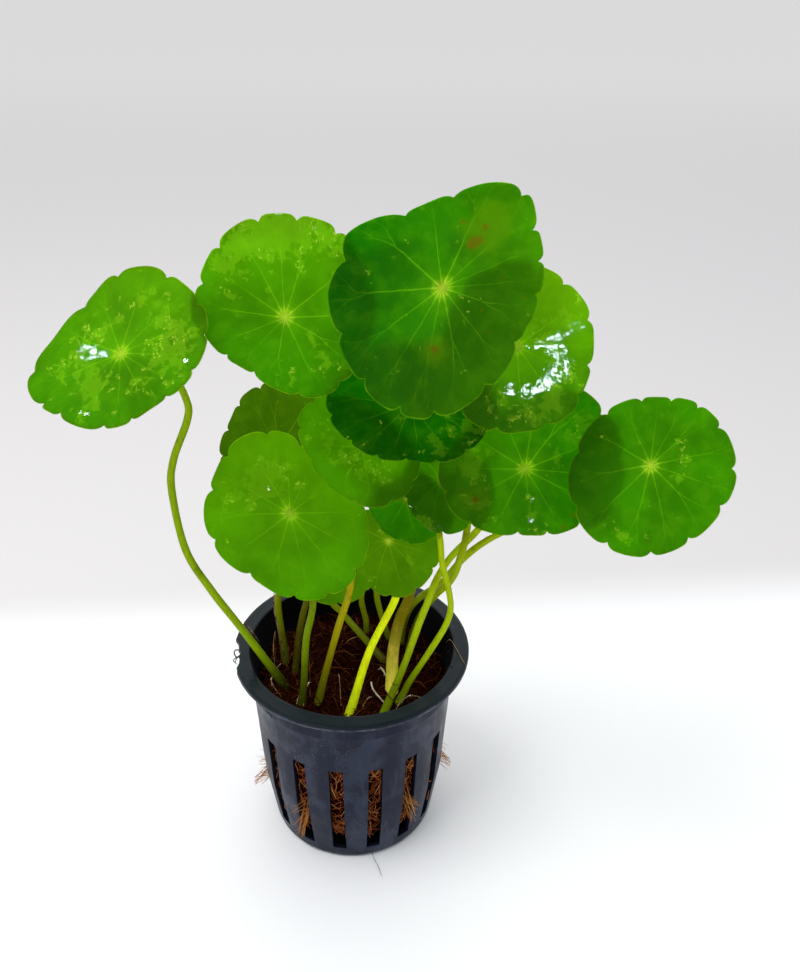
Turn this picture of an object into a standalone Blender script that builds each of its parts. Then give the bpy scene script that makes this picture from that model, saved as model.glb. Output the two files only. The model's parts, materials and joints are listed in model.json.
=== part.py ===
"""Whorled pennywort growing in a small net pot packed with coir.

Fourteen round, scalloped leaf blades stand on thin stalks above the pot and lean towards the light, which
comes from the front, so that they overlap like shingles. The origin is the middle of the pot's base, on the
surface that it stands on; +X is right, +Y is away from the viewer and +Z is up. Sizes below are millimetres.
"""

import math

import bpy
import numpy as np

MM = 0.001

# Pot: a 60 mm net pot, 55 mm tall, turned from one profile and pierced by slots
POT_HEIGHT = 55.0
RIM_RADIUS = 30.0
MOUTH_RADIUS = 25.8
RIM_THICKNESS = 1.4
RIM_BEVEL = 0.5
WALL = 1.3
COLLAR_RADIUS = 27.1
COLLAR_BOTTOM = 47.4
BASE_ROUNDING = 1.5
# Outside of the wall from the base up, as radius and height: it narrows faster below the waist
WAIST = 18.0
WALL_LINE = ((22.1, BASE_ROUNDING), (24.4, WAIST), (25.9, COLLAR_BOTTOM))
BASE_THICKNESS = 1.5
POT_SEGMENTS = 48

SLOTS = 16
SLOT_WIDTH = 3.6
SLOT_BOTTOM = 4.0
SLOT_TOP = 35.5
FIRST_SLOT_ANGLE = -96.5
BASE_SLOTS = 8
BASE_SLOT_WIDTH = 3.0
BASE_SLOT_REACH = (8.0, 17.0)
# Radius from just inside the wall to well outside it, for whatever cuts through
WALL_CUT = (18.0, 31.0)
CHIP_CENTRE = (-48.2, -8.1)
CHIP_RADIUS = 20.4
CHIP_SIDES = 48

# Coir: a plug that stops below the mouth, narrow at the bottom and uneven on top
COIR_TOP = 45.0
COIR_LUMP = 0.9
COIR_CLEARANCE = 0.45
COIR_SEGMENTS = 24
# Lower part as radius and height above its underside, the height where it meets the wall, and the
# radii of the rings on its top inside the rounded edge
COIR_FOOT = ((14.5, 0.0), (18.5, 2.5))
COIR_TOUCH = 9.0
COIR_EDGE = (1.0, 2.5)
COIR_RINGS = (19.0, 13.0, 7.0)
SOCKET_DEPTH = 5.0
SOCKET_CLEARANCE = 0.4
SOCKET_SIDES = 8
# Bundles of fibre that stick out of the slots: angle round the pot, height inside, then the tip's reach and
# height
FIBRE_BUNDLES = {
    "left": (-164, 17, 27.7, 12.5),
    "front_left": (-119, 17, 25.6, 8.5),
    "front_right": (-51.5, 19, 26.4, 13.5),
    "right": (-6.5, 20, 27.0, 15.5),
}
BUNDLE_RADIUS = 1.1
BUNDLE_TIP = 0.3
BUNDLE_SIDES = 6
BUNDLE_ROOT = 18.0
BUNDLE_ELBOW = 25.5

# Blades
BLADE_THICKNESS = 0.5
NOTCH_DEPTH = 0.056
JOINT_GAP = 0.3
STALK_GAP = 0.5

# Stalks
STALK_SIDES = 6
STALK_STEPS = 13
# Straight piece under the hub, and straight piece above the coir
NECK = 4.0
STRAIGHT_END = 4.5

# One entry a leaf. hub: where the stalk meets the blade. tilt: how far the blade leans from level, and lean:
# the direction in which it leans, both in degrees. reach: hub to edge in 12 or 24 even steps round the
# leaf, the first one straight downhill and the rest turning to the viewer's right. notches: directions of
# the dents between the lobes. dish: how far the edge stands in front of the hub. bend: an edge that curls
# back, as direction, distance of the curl from the hub, radius of the curl and how far it turns at most.
# stalk: its radius at the top and the bottom, and the points it passes, from under the leaf down to the coir.
LEAVES = {
    "far_left": dict(
        hub=(-43.3, -15.5, 139.5), tilt=50, lean=245, dish=1.0,
        reach=(16, 15.4, 15.8, 18.5, 20.2, 18.5, 18, 16.6, 15.4, 16.3, 21.4, 17.5),
        notches=(11, 35, 66, 89, 111, 130, 162, 202, 238, 293, 315, 330),
        bend=(245, 10, 12, 50),
        radii=(0.8, 1.0),
        stalk=((-35.4, -9.5, 132), (-33.3, -8, 126), (-34, -7, 121), (-38.2, -6, 111), (-39.5, -6, 103),
               (-37.5, -8, 88.5), (-32.5, -9, 78), (-26, -8, 65), (-17, -5.5, 45)),
    ),
    "upper_left": dict(
        hub=(-11, -14.5, 147), tilt=60, lean=262, dish=1.2,
        reach=(14, 17, 17.5, 18, 18.5, 19.5, 19.5, 20, 19, 17.5, 14.5, 12.5),
        notches=(16, 46, 80, 115, 152, 177, 200, 228, 252, 283, 308, 336),
        bend=None,
        radii=(0.8, 0.9),
        stalk=((-6, -4, 134), (-3, -2.5, 122), (-2.5, 3.5, 111), (-4, 5.5, 100), (-9, 1.5, 88),
               (-14, -0.8, 78), (-18.5, 1.5, 68), (-18, 4, 45)),
    ),
    "top": dict(
        hub=(18.5, -22.5, 156), tilt=62, lean=280, dish=1.4,
        reach=(22.7, 20.5, 19, 17.5, 16.8, 17.4, 18.2, 19.2, 20.8, 23.5, 21.8, 17.9,
               15.2, 14.4, 15.2, 17, 19, 19, 20.6, 21, 21.8, 23, 24.1, 24),
        notches=(20, 50, 83, 102, 119, 135, 168, 204, 254, 292, 316, 336, 352),
        bend=(195, 7, 13, 60),
        radii=(1.0, 1.5),
        stalk=((17, -1, 142), (16.5, 6, 128), (16, 8, 112), (16, 6, 97), (15.5, 2, 82), (14.4, -1.6, 71.5),
               (12.4, -3.6, 66.6), (11.2, -4.8, 61.5), (10.5, -6, 55.5), (10.4, -7.2, 45)),
    ),
    "upper_right": dict(
        hub=(33.5, -17, 143), tilt=60, lean=284, dish=1.0,
        reach=(16.5, 16.5, 15.5, 15.5, 16, 16, 16, 16, 15.5, 16, 17, 17.5),
        notches=(14, 48, 71, 105, 137, 166, 195, 225, 255, 283, 310, 338),
        bend=None,
        radii=(0.8, 0.9),
        stalk=((32, 1, 130), (31, 3, 118), (29, 1, 104), (27.6, -2.5, 94), (26.9, -5.2, 90.2),
               (25.8, -6.8, 86.3), (24.9, -6.9, 82.4), (23.3, -4.6, 77.3), (20.9, -1, 71.5), (17.8, 3.9, 62),
               (15.8, 7.1, 53), (14.8, 8.6, 45)),
    ),
    "middle": dict(
        hub=(13.5, -15.5, 130), tilt=44, lean=275, dish=0.8,
        reach=(12.5, 14.5, 16, 16.5, 15.5, 15, 15, 15, 15, 17, 15.5, 13.5),
        notches=(19, 45, 80, 115, 150, 185, 220, 252, 279, 303, 326, 352),
        bend=None,
        radii=(0.8, 1.0),
        stalk=((15, -4, 121), (14, 3, 114), (12.5, 5, 104), (13, 2, 92), (11.5, -3, 80), (11, -6, 74),
               (5, -11, 62), (0, -15.5, 45)),
    ),
    "lower_right": dict(
        hub=(38, -13, 114), tilt=58, lean=272, dish=1.2,
        reach=(14, 15.5, 17.5, 19.5, 20.5, 20.5, 18, 16, 17, 18.5, 18, 15.5),
        notches=(18, 46, 74, 100, 126, 156, 188, 222, 255, 286, 313, 352),
        bend=None,
        radii=(0.8, 0.9),
        stalk=((37, -4, 104), (34.5, -1, 96.5), (31, -1, 92), (28.4, -1.8, 89), (24.6, -3.6, 85.6),
               (22.1, -5, 82.4), (20.1, -7, 79), (18.4, -8.8, 74.3), (16.6, -10.3, 69.4),
               (14, -12.2, 60.8), (11.9, -13.2, 54.4), (8.6, -14.5, 45)),
    ),
    "far_right": dict(
        hub=(62.5, -18.5, 118.5), tilt=54, lean=255, dish=1.2,
        reach=(19, 17.5, 16.5, 16.5, 16, 15.5, 14, 14, 14.5, 15.5, 17.5, 19),
        notches=(8, 34, 66, 95, 128, 150, 171, 196, 228, 268, 309, 340),
        bend=None,
        radii=(0.8, 0.9),
        stalk=((60, -8, 108), (48, -3.5, 98), (37, -3, 92.3), (30.7, -2.5, 87.5), (26.3, -1.5, 81.8),
               (22.8, 0.4, 74.7), (20.5, 2.2, 71.1), (17.2, 4.8, 66.2), (14.5, 7.8, 59.8), (13, 10.4, 52),
               (12.4, 12, 45)),
    ),
    "olive": dict(
        hub=(-17, 6.5, 107.5), tilt=54, lean=272, dish=0.8,
        reach=(14, 13.5, 12, 11.5, 12.5, 15, 16, 15, 13, 13.5, 14, 14),
        notches=(10, 42, 80, 125, 172, 197, 222, 250, 278, 310, 342),
        bend=None,
        radii=(0.8, 0.9),
        stalk=((-14.5, 13.5, 96), (-11.5, 14.5, 80), (-6.5, 12, 60.5), (-3, 10.5, 56), (8, 5, 45)),
    ),
    "lower_left": dict(
        hub=(-12.5, -11.5, 101), tilt=50, lean=278, dish=1.0,
        reach=(19, 20.5, 19, 16.5, 14, 13, 18, 20, 18.5, 18.5, 17.5, 16.5),
        notches=(0, 22, 46, 73, 105, 139, 169, 193, 224, 250, 287, 324),
        bend=None,
        radii=(0.8, 0.9),
        stalk=((-10.5, -9, 90), (-8, -13, 79), (-10, -13.5, 67), (-11, -13, 54), (-12, -12.5, 45)),
    ),
    "centre": dict(
        hub=(3.5, -13, 118.5), tilt=50, lean=285, dish=0.8,
        reach=(13, 13.5, 13, 11.5, 9.5, 10, 12.5, 14, 14.5, 12, 11, 11.5),
        notches=(20, 48, 82, 118, 155, 190, 220, 247, 277, 306, 344),
        bend=None,
        radii=(0.8, 0.9),
        stalk=((2.5, -5, 106), (2, -6.5, 96), (1, -9, 86), (0, -8.5, 77), (-2.5, -9, 68), (-5.5, -10, 56),
               (-8, -11, 45)),
    ),
    "small_right": dict(
        hub=(20.5, -8.5, 108.5), tilt=56, lean=275, dish=0.6,
        reach=(12, 12, 11.5, 11, 10.5, 10, 10, 9.5, 9, 8.5, 9, 10.5),
        notches=(0, 30, 62, 95, 130, 165, 200, 235, 268, 298, 333),
        bend=None,
        radii=(0.7, 0.8),
        stalk=((20.5, -6.5, 103), (20.5, -10, 97), (21, -11, 93), (21.5, -11, 88), (23, -11, 82),
               (24, -11, 75.5), (23, -11, 70), (19.5, -11, 62), (15, -11.5, 53), (12, -11.5, 45)),
    ),
    "small_dark": dict(
        hub=(13, -4.5, 101), tilt=50, lean=285, dish=0.6,
        reach=(10.5, 11, 11, 10, 9, 9, 9, 9, 9, 9, 9, 9.5),
        notches=(23, 60, 95, 130, 165, 200, 235, 268, 302, 345),
        bend=None,
        radii=(0.7, 0.8),
        stalk=((10.5, 3, 94), (8.5, 8, 86), (7, 9, 76), (6, 8, 66), (7, 9, 58), (9.5, 13, 45)),
    ),
    "small_front": dict(
        hub=(9, -4.5, 89.5), tilt=60, lean=255, dish=0.7,
        reach=(12.5, 13.5, 13, 13, 11.5, 8.5, 7.5, 8, 10, 11, 10, 10),
        notches=(12, 41, 69, 100, 135, 170, 205, 240, 270, 302, 334),
        bend=None,
        radii=(0.7, 0.8),
        stalk=((7.5, 2.5, 80), (4, 7.5, 71), (2, 10, 62), (3, 13, 52), (3, 16, 45)),
    ),
    "small_back": dict(
        hub=(-6, 3.5, 79), tilt=58, lean=268, dish=0.5,
        reach=(11.5, 12.5, 13, 12, 10, 9, 9, 9, 9, 9, 9.5, 10.5),
        notches=(15, 50, 85, 120, 155, 190, 225, 260, 295, 338),
        bend=None,
        radii=(0.8, 0.9),
        stalk=((-8, 8.5, 72), (-12, 6, 63), (-14, 3, 54.5), (-15, -0.5, 45)),
    ),
}


def clear_scene():
    for obj in list(bpy.data.objects):
        bpy.data.objects.remove(obj, do_unlink=True)


def material(name, colour, roughness):
    made = bpy.data.materials.new(name)
    made.use_nodes = True
    shader = made.node_tree.nodes["Principled BSDF"]
    shader.inputs["Base Color"].default_value = (*colour, 1.0)
    shader.inputs["Roughness"].default_value = roughness
    shader.inputs["Metallic"].default_value = 0.0
    return made


def mesh_object(name, points, faces, finish, smooth=True):
    """One object from points in millimetres and faces as lists of point numbers."""
    mesh = bpy.data.meshes.new(name)
    mesh.from_pydata([tuple(p) for p in np.asarray(points) * MM], [], faces)
    if smooth:
        mesh.shade_smooth()
        mesh.set_sharp_from_angle(angle=math.radians(40))
    mesh.materials.append(finish)
    obj = bpy.data.objects.new(name, mesh)
    bpy.context.scene.collection.objects.link(obj)
    return obj


def subtract(obj, cutter):
    cutter.hide_render = True
    cutter.display_type = "WIRE"
    cut = obj.modifiers.new(cutter.name, "BOOLEAN")
    cut.operation = "DIFFERENCE"
    cut.solver = "EXACT"
    cut.object = cutter


def turned(profile, segments):
    """Points and outward faces of a profile turned round Z. The profile runs from the axis, down and out
    along the underside, up the outside and back to the axis along the inside."""
    angles = np.arange(segments) * 2 * math.pi / segments
    ring_count = len(profile) - 2
    points = [(0, 0, profile[0][1])]
    for radius, height in profile[1:-1]:
        points += [(radius * math.cos(a), radius * math.sin(a), height) for a in angles]
    points.append((0, 0, profile[-1][1]))
    last = len(points) - 1
    faces = []
    for i in range(segments):
        j = (i + 1) % segments
        faces.append((0, 1 + j, 1 + i))
        for ring in range(ring_count - 1):
            low = 1 + ring * segments
            high = low + segments
            faces.append((low + i, low + j, high + j, high + i))
        top = 1 + (ring_count - 1) * segments
        faces.append((last, top + i, top + j))
    return points, faces


def box_points(inner, outer, width, bottom, top, angle):
    """Corners of a box that lies along a radius of the pot."""
    a = math.radians(angle)
    out = np.array((math.cos(a), math.sin(a), 0))
    side = np.array((-math.sin(a), math.cos(a), 0)) * width / 2
    up = np.array((0, 0, 1.0))
    corners = []
    for height in (bottom, top):
        for reach, turn in ((inner, -1), (outer, -1), (outer, 1), (inner, 1)):
            corners.append(out * reach + side * turn + up * height)
    return corners


BOX_FACES = [(0, 3, 2, 1), (4, 5, 6, 7), (0, 1, 5, 4), (1, 2, 6, 5), (2, 3, 7, 6), (3, 0, 4, 7)]


def wall_inner_radius(height):
    """Inside of the tapered wall, one wall thickness in from the outside."""
    radii, heights = zip(*WALL_LINE)
    return float(np.interp(height, heights, radii)) - WALL


def make_pot(finish):
    base_radius = WALL_LINE[0][0]
    corner = [
        (
            base_radius - BASE_ROUNDING * (1 - math.sin(math.radians(a))),
            BASE_ROUNDING * (1 - math.cos(math.radians(a))),
        )
        for a in (0, 45)
    ]
    inside = [(wall_inner_radius(height), height) for height in (COLLAR_BOTTOM, WAIST, BASE_THICKNESS + 1)]
    profile = [(0, 0)] + corner + list(WALL_LINE) + [
        (COLLAR_RADIUS, COLLAR_BOTTOM + RIM_BEVEL),
        (COLLAR_RADIUS, POT_HEIGHT - RIM_THICKNESS),
        (RIM_RADIUS, POT_HEIGHT - RIM_THICKNESS),
        (RIM_RADIUS, POT_HEIGHT - RIM_BEVEL),
        (RIM_RADIUS - RIM_BEVEL, POT_HEIGHT),
        (MOUTH_RADIUS + RIM_BEVEL, POT_HEIGHT),
        (MOUTH_RADIUS, POT_HEIGHT - RIM_BEVEL),
    ] + inside + [
        (inside[-1][0] - 1.0, BASE_THICKNESS),
        (0, BASE_THICKNESS),
    ]
    points, faces = turned(profile, POT_SEGMENTS)
    pot = mesh_object("net_pot", points, faces, finish)

    cuts, cut_faces = [], []

    def add_cut(corners, shape):
        first = len(cuts)
        cuts.extend(corners)
        cut_faces.extend(tuple(first + k for k in face) for face in shape)

    for i in range(SLOTS):
        angle = FIRST_SLOT_ANGLE + i * 360 / SLOTS
        add_cut(box_points(*WALL_CUT, SLOT_WIDTH, SLOT_BOTTOM, SLOT_TOP, angle), BOX_FACES)
    for i in range(BASE_SLOTS):
        angle = FIRST_SLOT_ANGLE + (i + 0.5) * 360 / BASE_SLOTS
        add_cut(box_points(*BASE_SLOT_REACH, BASE_SLOT_WIDTH, -2, 3, angle), BOX_FACES)
    sides = CHIP_SIDES
    turn = [2 * math.pi * k / sides for k in range(sides)]
    for_chip = [
        (CHIP_CENTRE[0] + CHIP_RADIUS * math.cos(a), CHIP_CENTRE[1] + CHIP_RADIUS * math.sin(a), z)
        for z in (POT_HEIGHT - 4, POT_HEIGHT + 2)
        for a in turn
    ]
    chip_faces = [tuple(reversed(range(sides))), tuple(range(sides, 2 * sides))]
    chip_faces += [(k, (k + 1) % sides, sides + (k + 1) % sides, sides + k) for k in range(sides)]
    add_cut(for_chip, chip_faces)
    subtract(pot, mesh_object("pot_slots_cutter", cuts, cut_faces, finish, smooth=False))
    return pot


def coir_height(x, y):
    """Uneven top of the coir: three low waves that cross."""
    return COIR_TOP + COIR_LUMP * (
        math.sin(0.42 * x + 0.6) * math.cos(0.36 * y - 0.3)
        + 0.5 * math.sin(0.8 * y + 0.5 * x)
        + 0.3 * math.cos(0.9 * x - 0.7 * y)
    )


def make_coir(finish, sockets):
    base = BASE_THICKNESS + JOINT_GAP
    sides = [(radius, base + height) for radius, height in COIR_FOOT]
    for height in (COIR_TOUCH, WAIST, COIR_TOP - COIR_EDGE[1]):
        sides.append((wall_inner_radius(height) - COIR_CLEARANCE, height))
    edge = wall_inner_radius(COIR_TOP) - COIR_CLEARANCE
    tops = [edge - COIR_EDGE[0], *COIR_RINGS]
    profile = [(0, base)] + sides + [(radius, COIR_TOP) for radius in tops] + [(0, COIR_TOP)]
    points, faces = turned(profile, COIR_SEGMENTS)
    first_top = 1 + len(sides) * COIR_SEGMENTS
    points = [
        (x, y, coir_height(x, y)) if k >= first_top else (x, y, z)
        for k, (x, y, z) in enumerate(points)
    ]
    coir = mesh_object("coir_plug", points, faces, finish)
    for name, (angle, start, tip, tip_height) in FIBRE_BUNDLES.items():
        a = math.radians(angle)
        out = np.array((math.cos(a), math.sin(a), 0))
        inside = out * BUNDLE_ROOT + np.array((0, 0, start))
        middle = out * BUNDLE_ELBOW + np.array((0, 0, start - 1.0))
        end = out * tip + np.array((0, 0, tip_height))
        spike = tube([inside, middle, end], [BUNDLE_RADIUS, BUNDLE_RADIUS, BUNDLE_TIP], BUNDLE_SIDES)
        bundle = mesh_object("fibre_bundle_" + name, *spike, finish)
        bundle.hide_render = True
        bundle.display_type = "WIRE"
        join = coir.modifiers.new(bundle.name, "BOOLEAN")
        join.operation = "UNION"
        join.solver = "EXACT"
        join.object = bundle
    for name, (foot, above, radius) in sockets.items():
        hole = tube([foot, above], [radius + SOCKET_CLEARANCE] * 2, SOCKET_SIDES)
        subtract(coir, mesh_object("socket_" + name, *hole, finish))
    return coir


def unit(v):
    return np.asarray(v, float) / np.linalg.norm(v)


def smooth_route(points, count):
    """Even places along a Catmull-Rom curve through the points."""
    p = np.asarray(points, float)
    p = np.vstack([2 * p[0] - p[1], p, 2 * p[-1] - p[-2]])
    fine = []
    for i in range(1, len(p) - 2):
        for t in np.arange(0, 1, 0.05):
            fine.append(
                0.5
                * (
                    2 * p[i]
                    + (p[i + 1] - p[i - 1]) * t
                    + (2 * p[i - 1] - 5 * p[i] + 4 * p[i + 1] - p[i + 2]) * t**2
                    + (3 * p[i] - p[i - 1] - 3 * p[i + 1] + p[i + 2]) * t**3
                )
            )
    fine.append(p[-2])
    fine = np.array(fine)
    along = np.concatenate([[0], np.cumsum(np.linalg.norm(np.diff(fine, axis=0), axis=1))])
    wanted = np.linspace(0, along[-1], count)
    return np.stack([np.interp(wanted, along, fine[:, k]) for k in range(3)], axis=1)


def tube(route, radii, sides):
    """Points and faces of a capped tube. Each ring stands square to the route, and the first direction is
    carried along the route so that the tube doesn't twist."""
    route = np.asarray(route, float)
    tangents = np.gradient(route, axis=0)
    tangents /= np.linalg.norm(tangents, axis=1)[:, None]
    side = np.cross(tangents[0], (0.3, 1.0, 0.2))
    points = []
    for place, tangent, radius in zip(route, tangents, radii):
        side = unit(side - tangent * np.dot(side, tangent))
        other = np.cross(tangent, side)
        for k in range(sides):
            a = 2 * math.pi * k / sides
            points.append(place + radius * (math.cos(a) * side + math.sin(a) * other))
    faces = [tuple(reversed(range(sides)))]
    for ring in range(len(route) - 1):
        low = ring * sides
        for k in range(sides):
            n = (k + 1) % sides
            faces.append((low + k, low + n, low + sides + n, low + sides + k))
    faces.append(tuple(range((len(route) - 1) * sides, len(route) * sides)))
    return points, faces


def leaf_axes(leaf):
    """Downhill, sideways and outward directions of a blade."""
    t, a = math.radians(leaf["tilt"]), math.radians(leaf["lean"])
    down = np.array((math.cos(t) * math.cos(a), math.cos(t) * math.sin(a), -math.sin(t)))
    side = np.array((-math.sin(a), math.cos(a), 0))
    out = np.array((math.sin(t) * math.cos(a), math.sin(t) * math.sin(a), math.cos(t)))
    return down, side, out


def leaf_reach(leaf, angle):
    """Hub to edge in one direction: a smooth curve through the reaches, less the scalloped dents."""
    reach = leaf["reach"]
    place = (angle % 360) * len(reach) / 360
    i = int(place)
    t = place - i
    a, b, c, d = (reach[(i + k) % len(reach)] for k in (-1, 0, 1, 2))
    whole = 0.5 * (2 * b + (c - a) * t + (2 * a - 5 * b + 4 * c - d) * t**2 + (3 * b - a - 3 * c + d) * t**3)
    notches = leaf["notches"]
    starts = list(notches) + [notches[0] + 360]
    at = angle % 360
    if at < starts[0]:
        at += 360
    for low, high in zip(starts, starts[1:]):
        if low <= at <= high:
            share = (at - low) / (high - low)
            return whole * (1 - NOTCH_DEPTH * (1 - math.sin(math.pi * share)) ** 2.2)
    return whole


def blade_point(leaf, angle, share, lift):
    """A place on the blade: share of the way from hub to edge, lift along the blade's own outward side."""
    a = math.radians(angle)
    reach = leaf_reach(leaf, angle) * share
    u, v = reach * math.cos(a), reach * math.sin(a)
    w = leaf["dish"] * share**2 + 0.25 * leaf["dish"] * share**2 * math.sin(3 * a + leaf["lean"])
    flat = np.array((u, v))
    if leaf["bend"] is None:
        return flat_to_world(leaf, flat, w + lift)
    direction, crease, radius, turn = leaf["bend"]
    d = math.radians(direction)
    along = np.array((math.cos(d), math.sin(d)))
    past = float(flat @ along) - crease
    if past <= 0:
        return flat_to_world(leaf, flat, w + lift)
    angle_past = min(past / radius, math.radians(turn))
    straight = past - angle_past * radius
    run = radius * math.sin(angle_past) + straight * math.cos(angle_past) + (w + lift) * math.sin(angle_past)
    drop = radius * (1 - math.cos(angle_past)) + straight * math.sin(angle_past)
    flat = flat + along * (run - past)
    return flat_to_world(leaf, flat, (w + lift) * math.cos(angle_past) - drop)


def flat_to_world(leaf, flat, w):
    down, side, out = leaf_axes(leaf)
    return np.array(leaf["hub"]) + down * flat[0] + side * flat[1] + out * w


def make_blade(name, leaf, finish):
    """Blade with one ring point a lobe near the hub, two halfway and four at the edge, front and back."""
    notches = list(leaf["notches"]) + [leaf["notches"][0] + 360]
    lobes = len(leaf["notches"])

    def lobe_angle(i, part):
        return notches[i] + (notches[i + 1] - notches[i]) * part

    rings = [
        (0.33, [lobe_angle(i, 0.5) for i in range(lobes)]),
        (0.68, [lobe_angle(i, part) for i in range(lobes) for part in (0.25, 0.75)]),
        (1.0, [lobe_angle(i, part) for i in range(lobes) for part in (0, 0.22, 0.5, 0.78)]),
    ]
    points = []
    for lift in (BLADE_THICKNESS / 2, -BLADE_THICKNESS / 2):
        points.append(blade_point(leaf, 0, 0, lift))
        for share, angles in rings:
            points += [blade_point(leaf, a, share, lift) for a in angles]
    near, mid, edge = 1, 1 + lobes, 1 + 3 * lobes
    layer = 1 + 7 * lobes
    front = []
    for i in range(lobes):
        j = (i + 1) % lobes
        a, b = near + i, near + j
        c, d, e = mid + 2 * i, mid + 2 * i + 1, mid + 2 * j
        p = edge + 4 * i
        q = edge + 4 * j
        front += [
            (0, a, b),
            (a, c, d), (a, d, b), (b, d, e),
            (c, p, p + 1), (c, p + 1, p + 2), (c, p + 2, d), (d, p + 2, p + 3), (d, p + 3, q), (d, q, e),
        ]
    back = [tuple(reversed([k + layer for k in face])) for face in front]
    rim = []
    count = 4 * lobes
    for k in range(count):
        n = (k + 1) % count
        rim.append((edge + k, layer + edge + k, layer + edge + n, edge + n))
    return mesh_object("leaf_" + name, points, front + back + rim, finish)


def stalk_route(leaf):
    """Points from under the hub, along the stalk, to its planted foot, with a straight end in the coir."""
    hub = np.array(leaf["hub"])
    out = leaf_axes(leaf)[2]
    top = hub - out * (BLADE_THICKNESS / 2 + STALK_GAP)
    neck = hub - out * NECK
    places = [np.array(p, float) for p in leaf["stalk"]]
    collar = places[-1]
    way = unit(places[-2] - collar)
    above = collar + way * STRAIGHT_END
    foot = collar - way * SOCKET_DEPTH
    return [top, neck] + places[:-1] + [above, collar, foot], foot, above


def make_stalk(name, leaf, finish):
    points, foot, above = stalk_route(leaf)
    route = np.vstack([points[:1], smooth_route(points[1:], STALK_STEPS - 1)])
    slim, stout = leaf["radii"]
    radii = slim + (stout - slim) * np.linspace(0, 1, STALK_STEPS) ** 1.5
    mesh_object("stalk_" + name, *tube(route, radii, STALK_SIDES), finish)
    return foot - unit(above - foot) * SOCKET_CLEARANCE, above, stout


def main():
    clear_scene()
    plastic = material("charcoal_plastic", (0.035, 0.042, 0.055), 0.42)
    fibre = material("coir_fibre", (0.13, 0.045, 0.02), 0.9)
    greens = {
        "bright": material("leaf_bright", (0.10, 0.33, 0.02), 0.4),
        "deep": material("leaf_deep", (0.03, 0.17, 0.02), 0.4),
        "olive": material("leaf_olive", (0.12, 0.20, 0.02), 0.5),
    }
    stem = material("stalk_green", (0.28, 0.38, 0.04), 0.45)
    shades = dict.fromkeys(("upper_right", "centre", "small_dark", "middle"), "deep")
    shades["olive"] = "olive"
    sockets = {}
    for name, leaf in LEAVES.items():
        make_blade(name, leaf, greens[shades.get(name, "bright")])
        sockets[name] = make_stalk(name, leaf, stem)
    make_pot(plastic)
    make_coir(fibre, sockets)


main()
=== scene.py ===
import json
import math
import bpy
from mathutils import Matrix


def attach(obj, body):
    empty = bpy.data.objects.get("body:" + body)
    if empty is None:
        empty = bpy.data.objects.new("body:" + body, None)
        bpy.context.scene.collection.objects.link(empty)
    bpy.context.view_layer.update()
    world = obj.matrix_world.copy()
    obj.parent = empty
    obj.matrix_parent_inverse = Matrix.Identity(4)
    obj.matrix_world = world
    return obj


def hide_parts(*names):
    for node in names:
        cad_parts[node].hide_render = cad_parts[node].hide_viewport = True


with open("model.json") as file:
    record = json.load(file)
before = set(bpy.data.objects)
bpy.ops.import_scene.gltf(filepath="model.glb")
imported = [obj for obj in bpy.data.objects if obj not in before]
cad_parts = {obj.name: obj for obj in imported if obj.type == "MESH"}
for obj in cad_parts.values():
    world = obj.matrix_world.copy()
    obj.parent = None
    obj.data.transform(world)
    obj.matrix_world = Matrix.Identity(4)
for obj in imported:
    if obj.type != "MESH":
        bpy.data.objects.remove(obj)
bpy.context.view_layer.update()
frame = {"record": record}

import zlib

import bpy
import numpy as np
from mathutils import Matrix, Vector

MM = 0.001


# Camera. It looks from in front and above, with the pot low in the middle of the frame. Its place, pitch
# and slight roll were fitted to the outlines of the pot's rim and base.
CAMERA_PLACE = (11.6, -179.3, 206.1)
CAMERA_PITCH = 30.2
CAMERA_ROLL = 1.02
FOCAL_PIXELS = 900.0
LONG_SIDE_PIXELS = 972.0

camera_data = bpy.data.cameras.new("camera")
camera_data.sensor_width = 36.0
camera_data.lens = camera_data.sensor_width * FOCAL_PIXELS / LONG_SIDE_PIXELS
camera_data.clip_start = 0.01
camera_data.clip_end = 50.0
camera = bpy.data.objects.new("camera", camera_data)
bpy.context.scene.collection.objects.link(camera)
camera.matrix_world = (
    Matrix.Translation(Vector(CAMERA_PLACE) * MM)
    @ Matrix.Rotation(math.radians(90 - CAMERA_PITCH), 4, "X")
    @ Matrix.Rotation(math.radians(CAMERA_ROLL), 4, "Z")
)
bpy.context.scene.camera = camera
bpy.context.scene.view_settings.view_transform = "Standard"


# Floor. A plain pale surface, white round the pot and greyer from a hand's width behind it, and painted paler
# again far away, where the lamps' light falls off. It isn't part of the object.
FLOOR_HALF = 30.0
FLOOR_NEAR = (0.97, 0.97, 0.97)
FLOOR_BEHIND = (0.73, 0.705, 0.70)
# Painted light: far away the floor is made paler to make up for the lamps' light falling off with distance
FLOOR_FAR_PAINTED_PALER = (0.86, 0.83, 0.81)
FLOOR_TURNS_GREY = (0.060, 0.105)
FLOOR_TURNS_PAINTED_PALER = (0.15, 2.0)
FLOOR_LINE_SLOPE = 0.109


class Value:
    """A node's output. Plain arithmetic with it adds the Math nodes."""

    def __init__(self, shader, socket):
        self.shader = shader
        self.socket = socket

    def __add__(self, other):
        return self.shader.math("ADD", self, other)

    def __sub__(self, other):
        return self.shader.math("SUBTRACT", self, other)

    def __mul__(self, other):
        return self.shader.math("MULTIPLY", self, other)

    def __abs__(self):
        return self.shader.math("ABSOLUTE", self)


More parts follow.
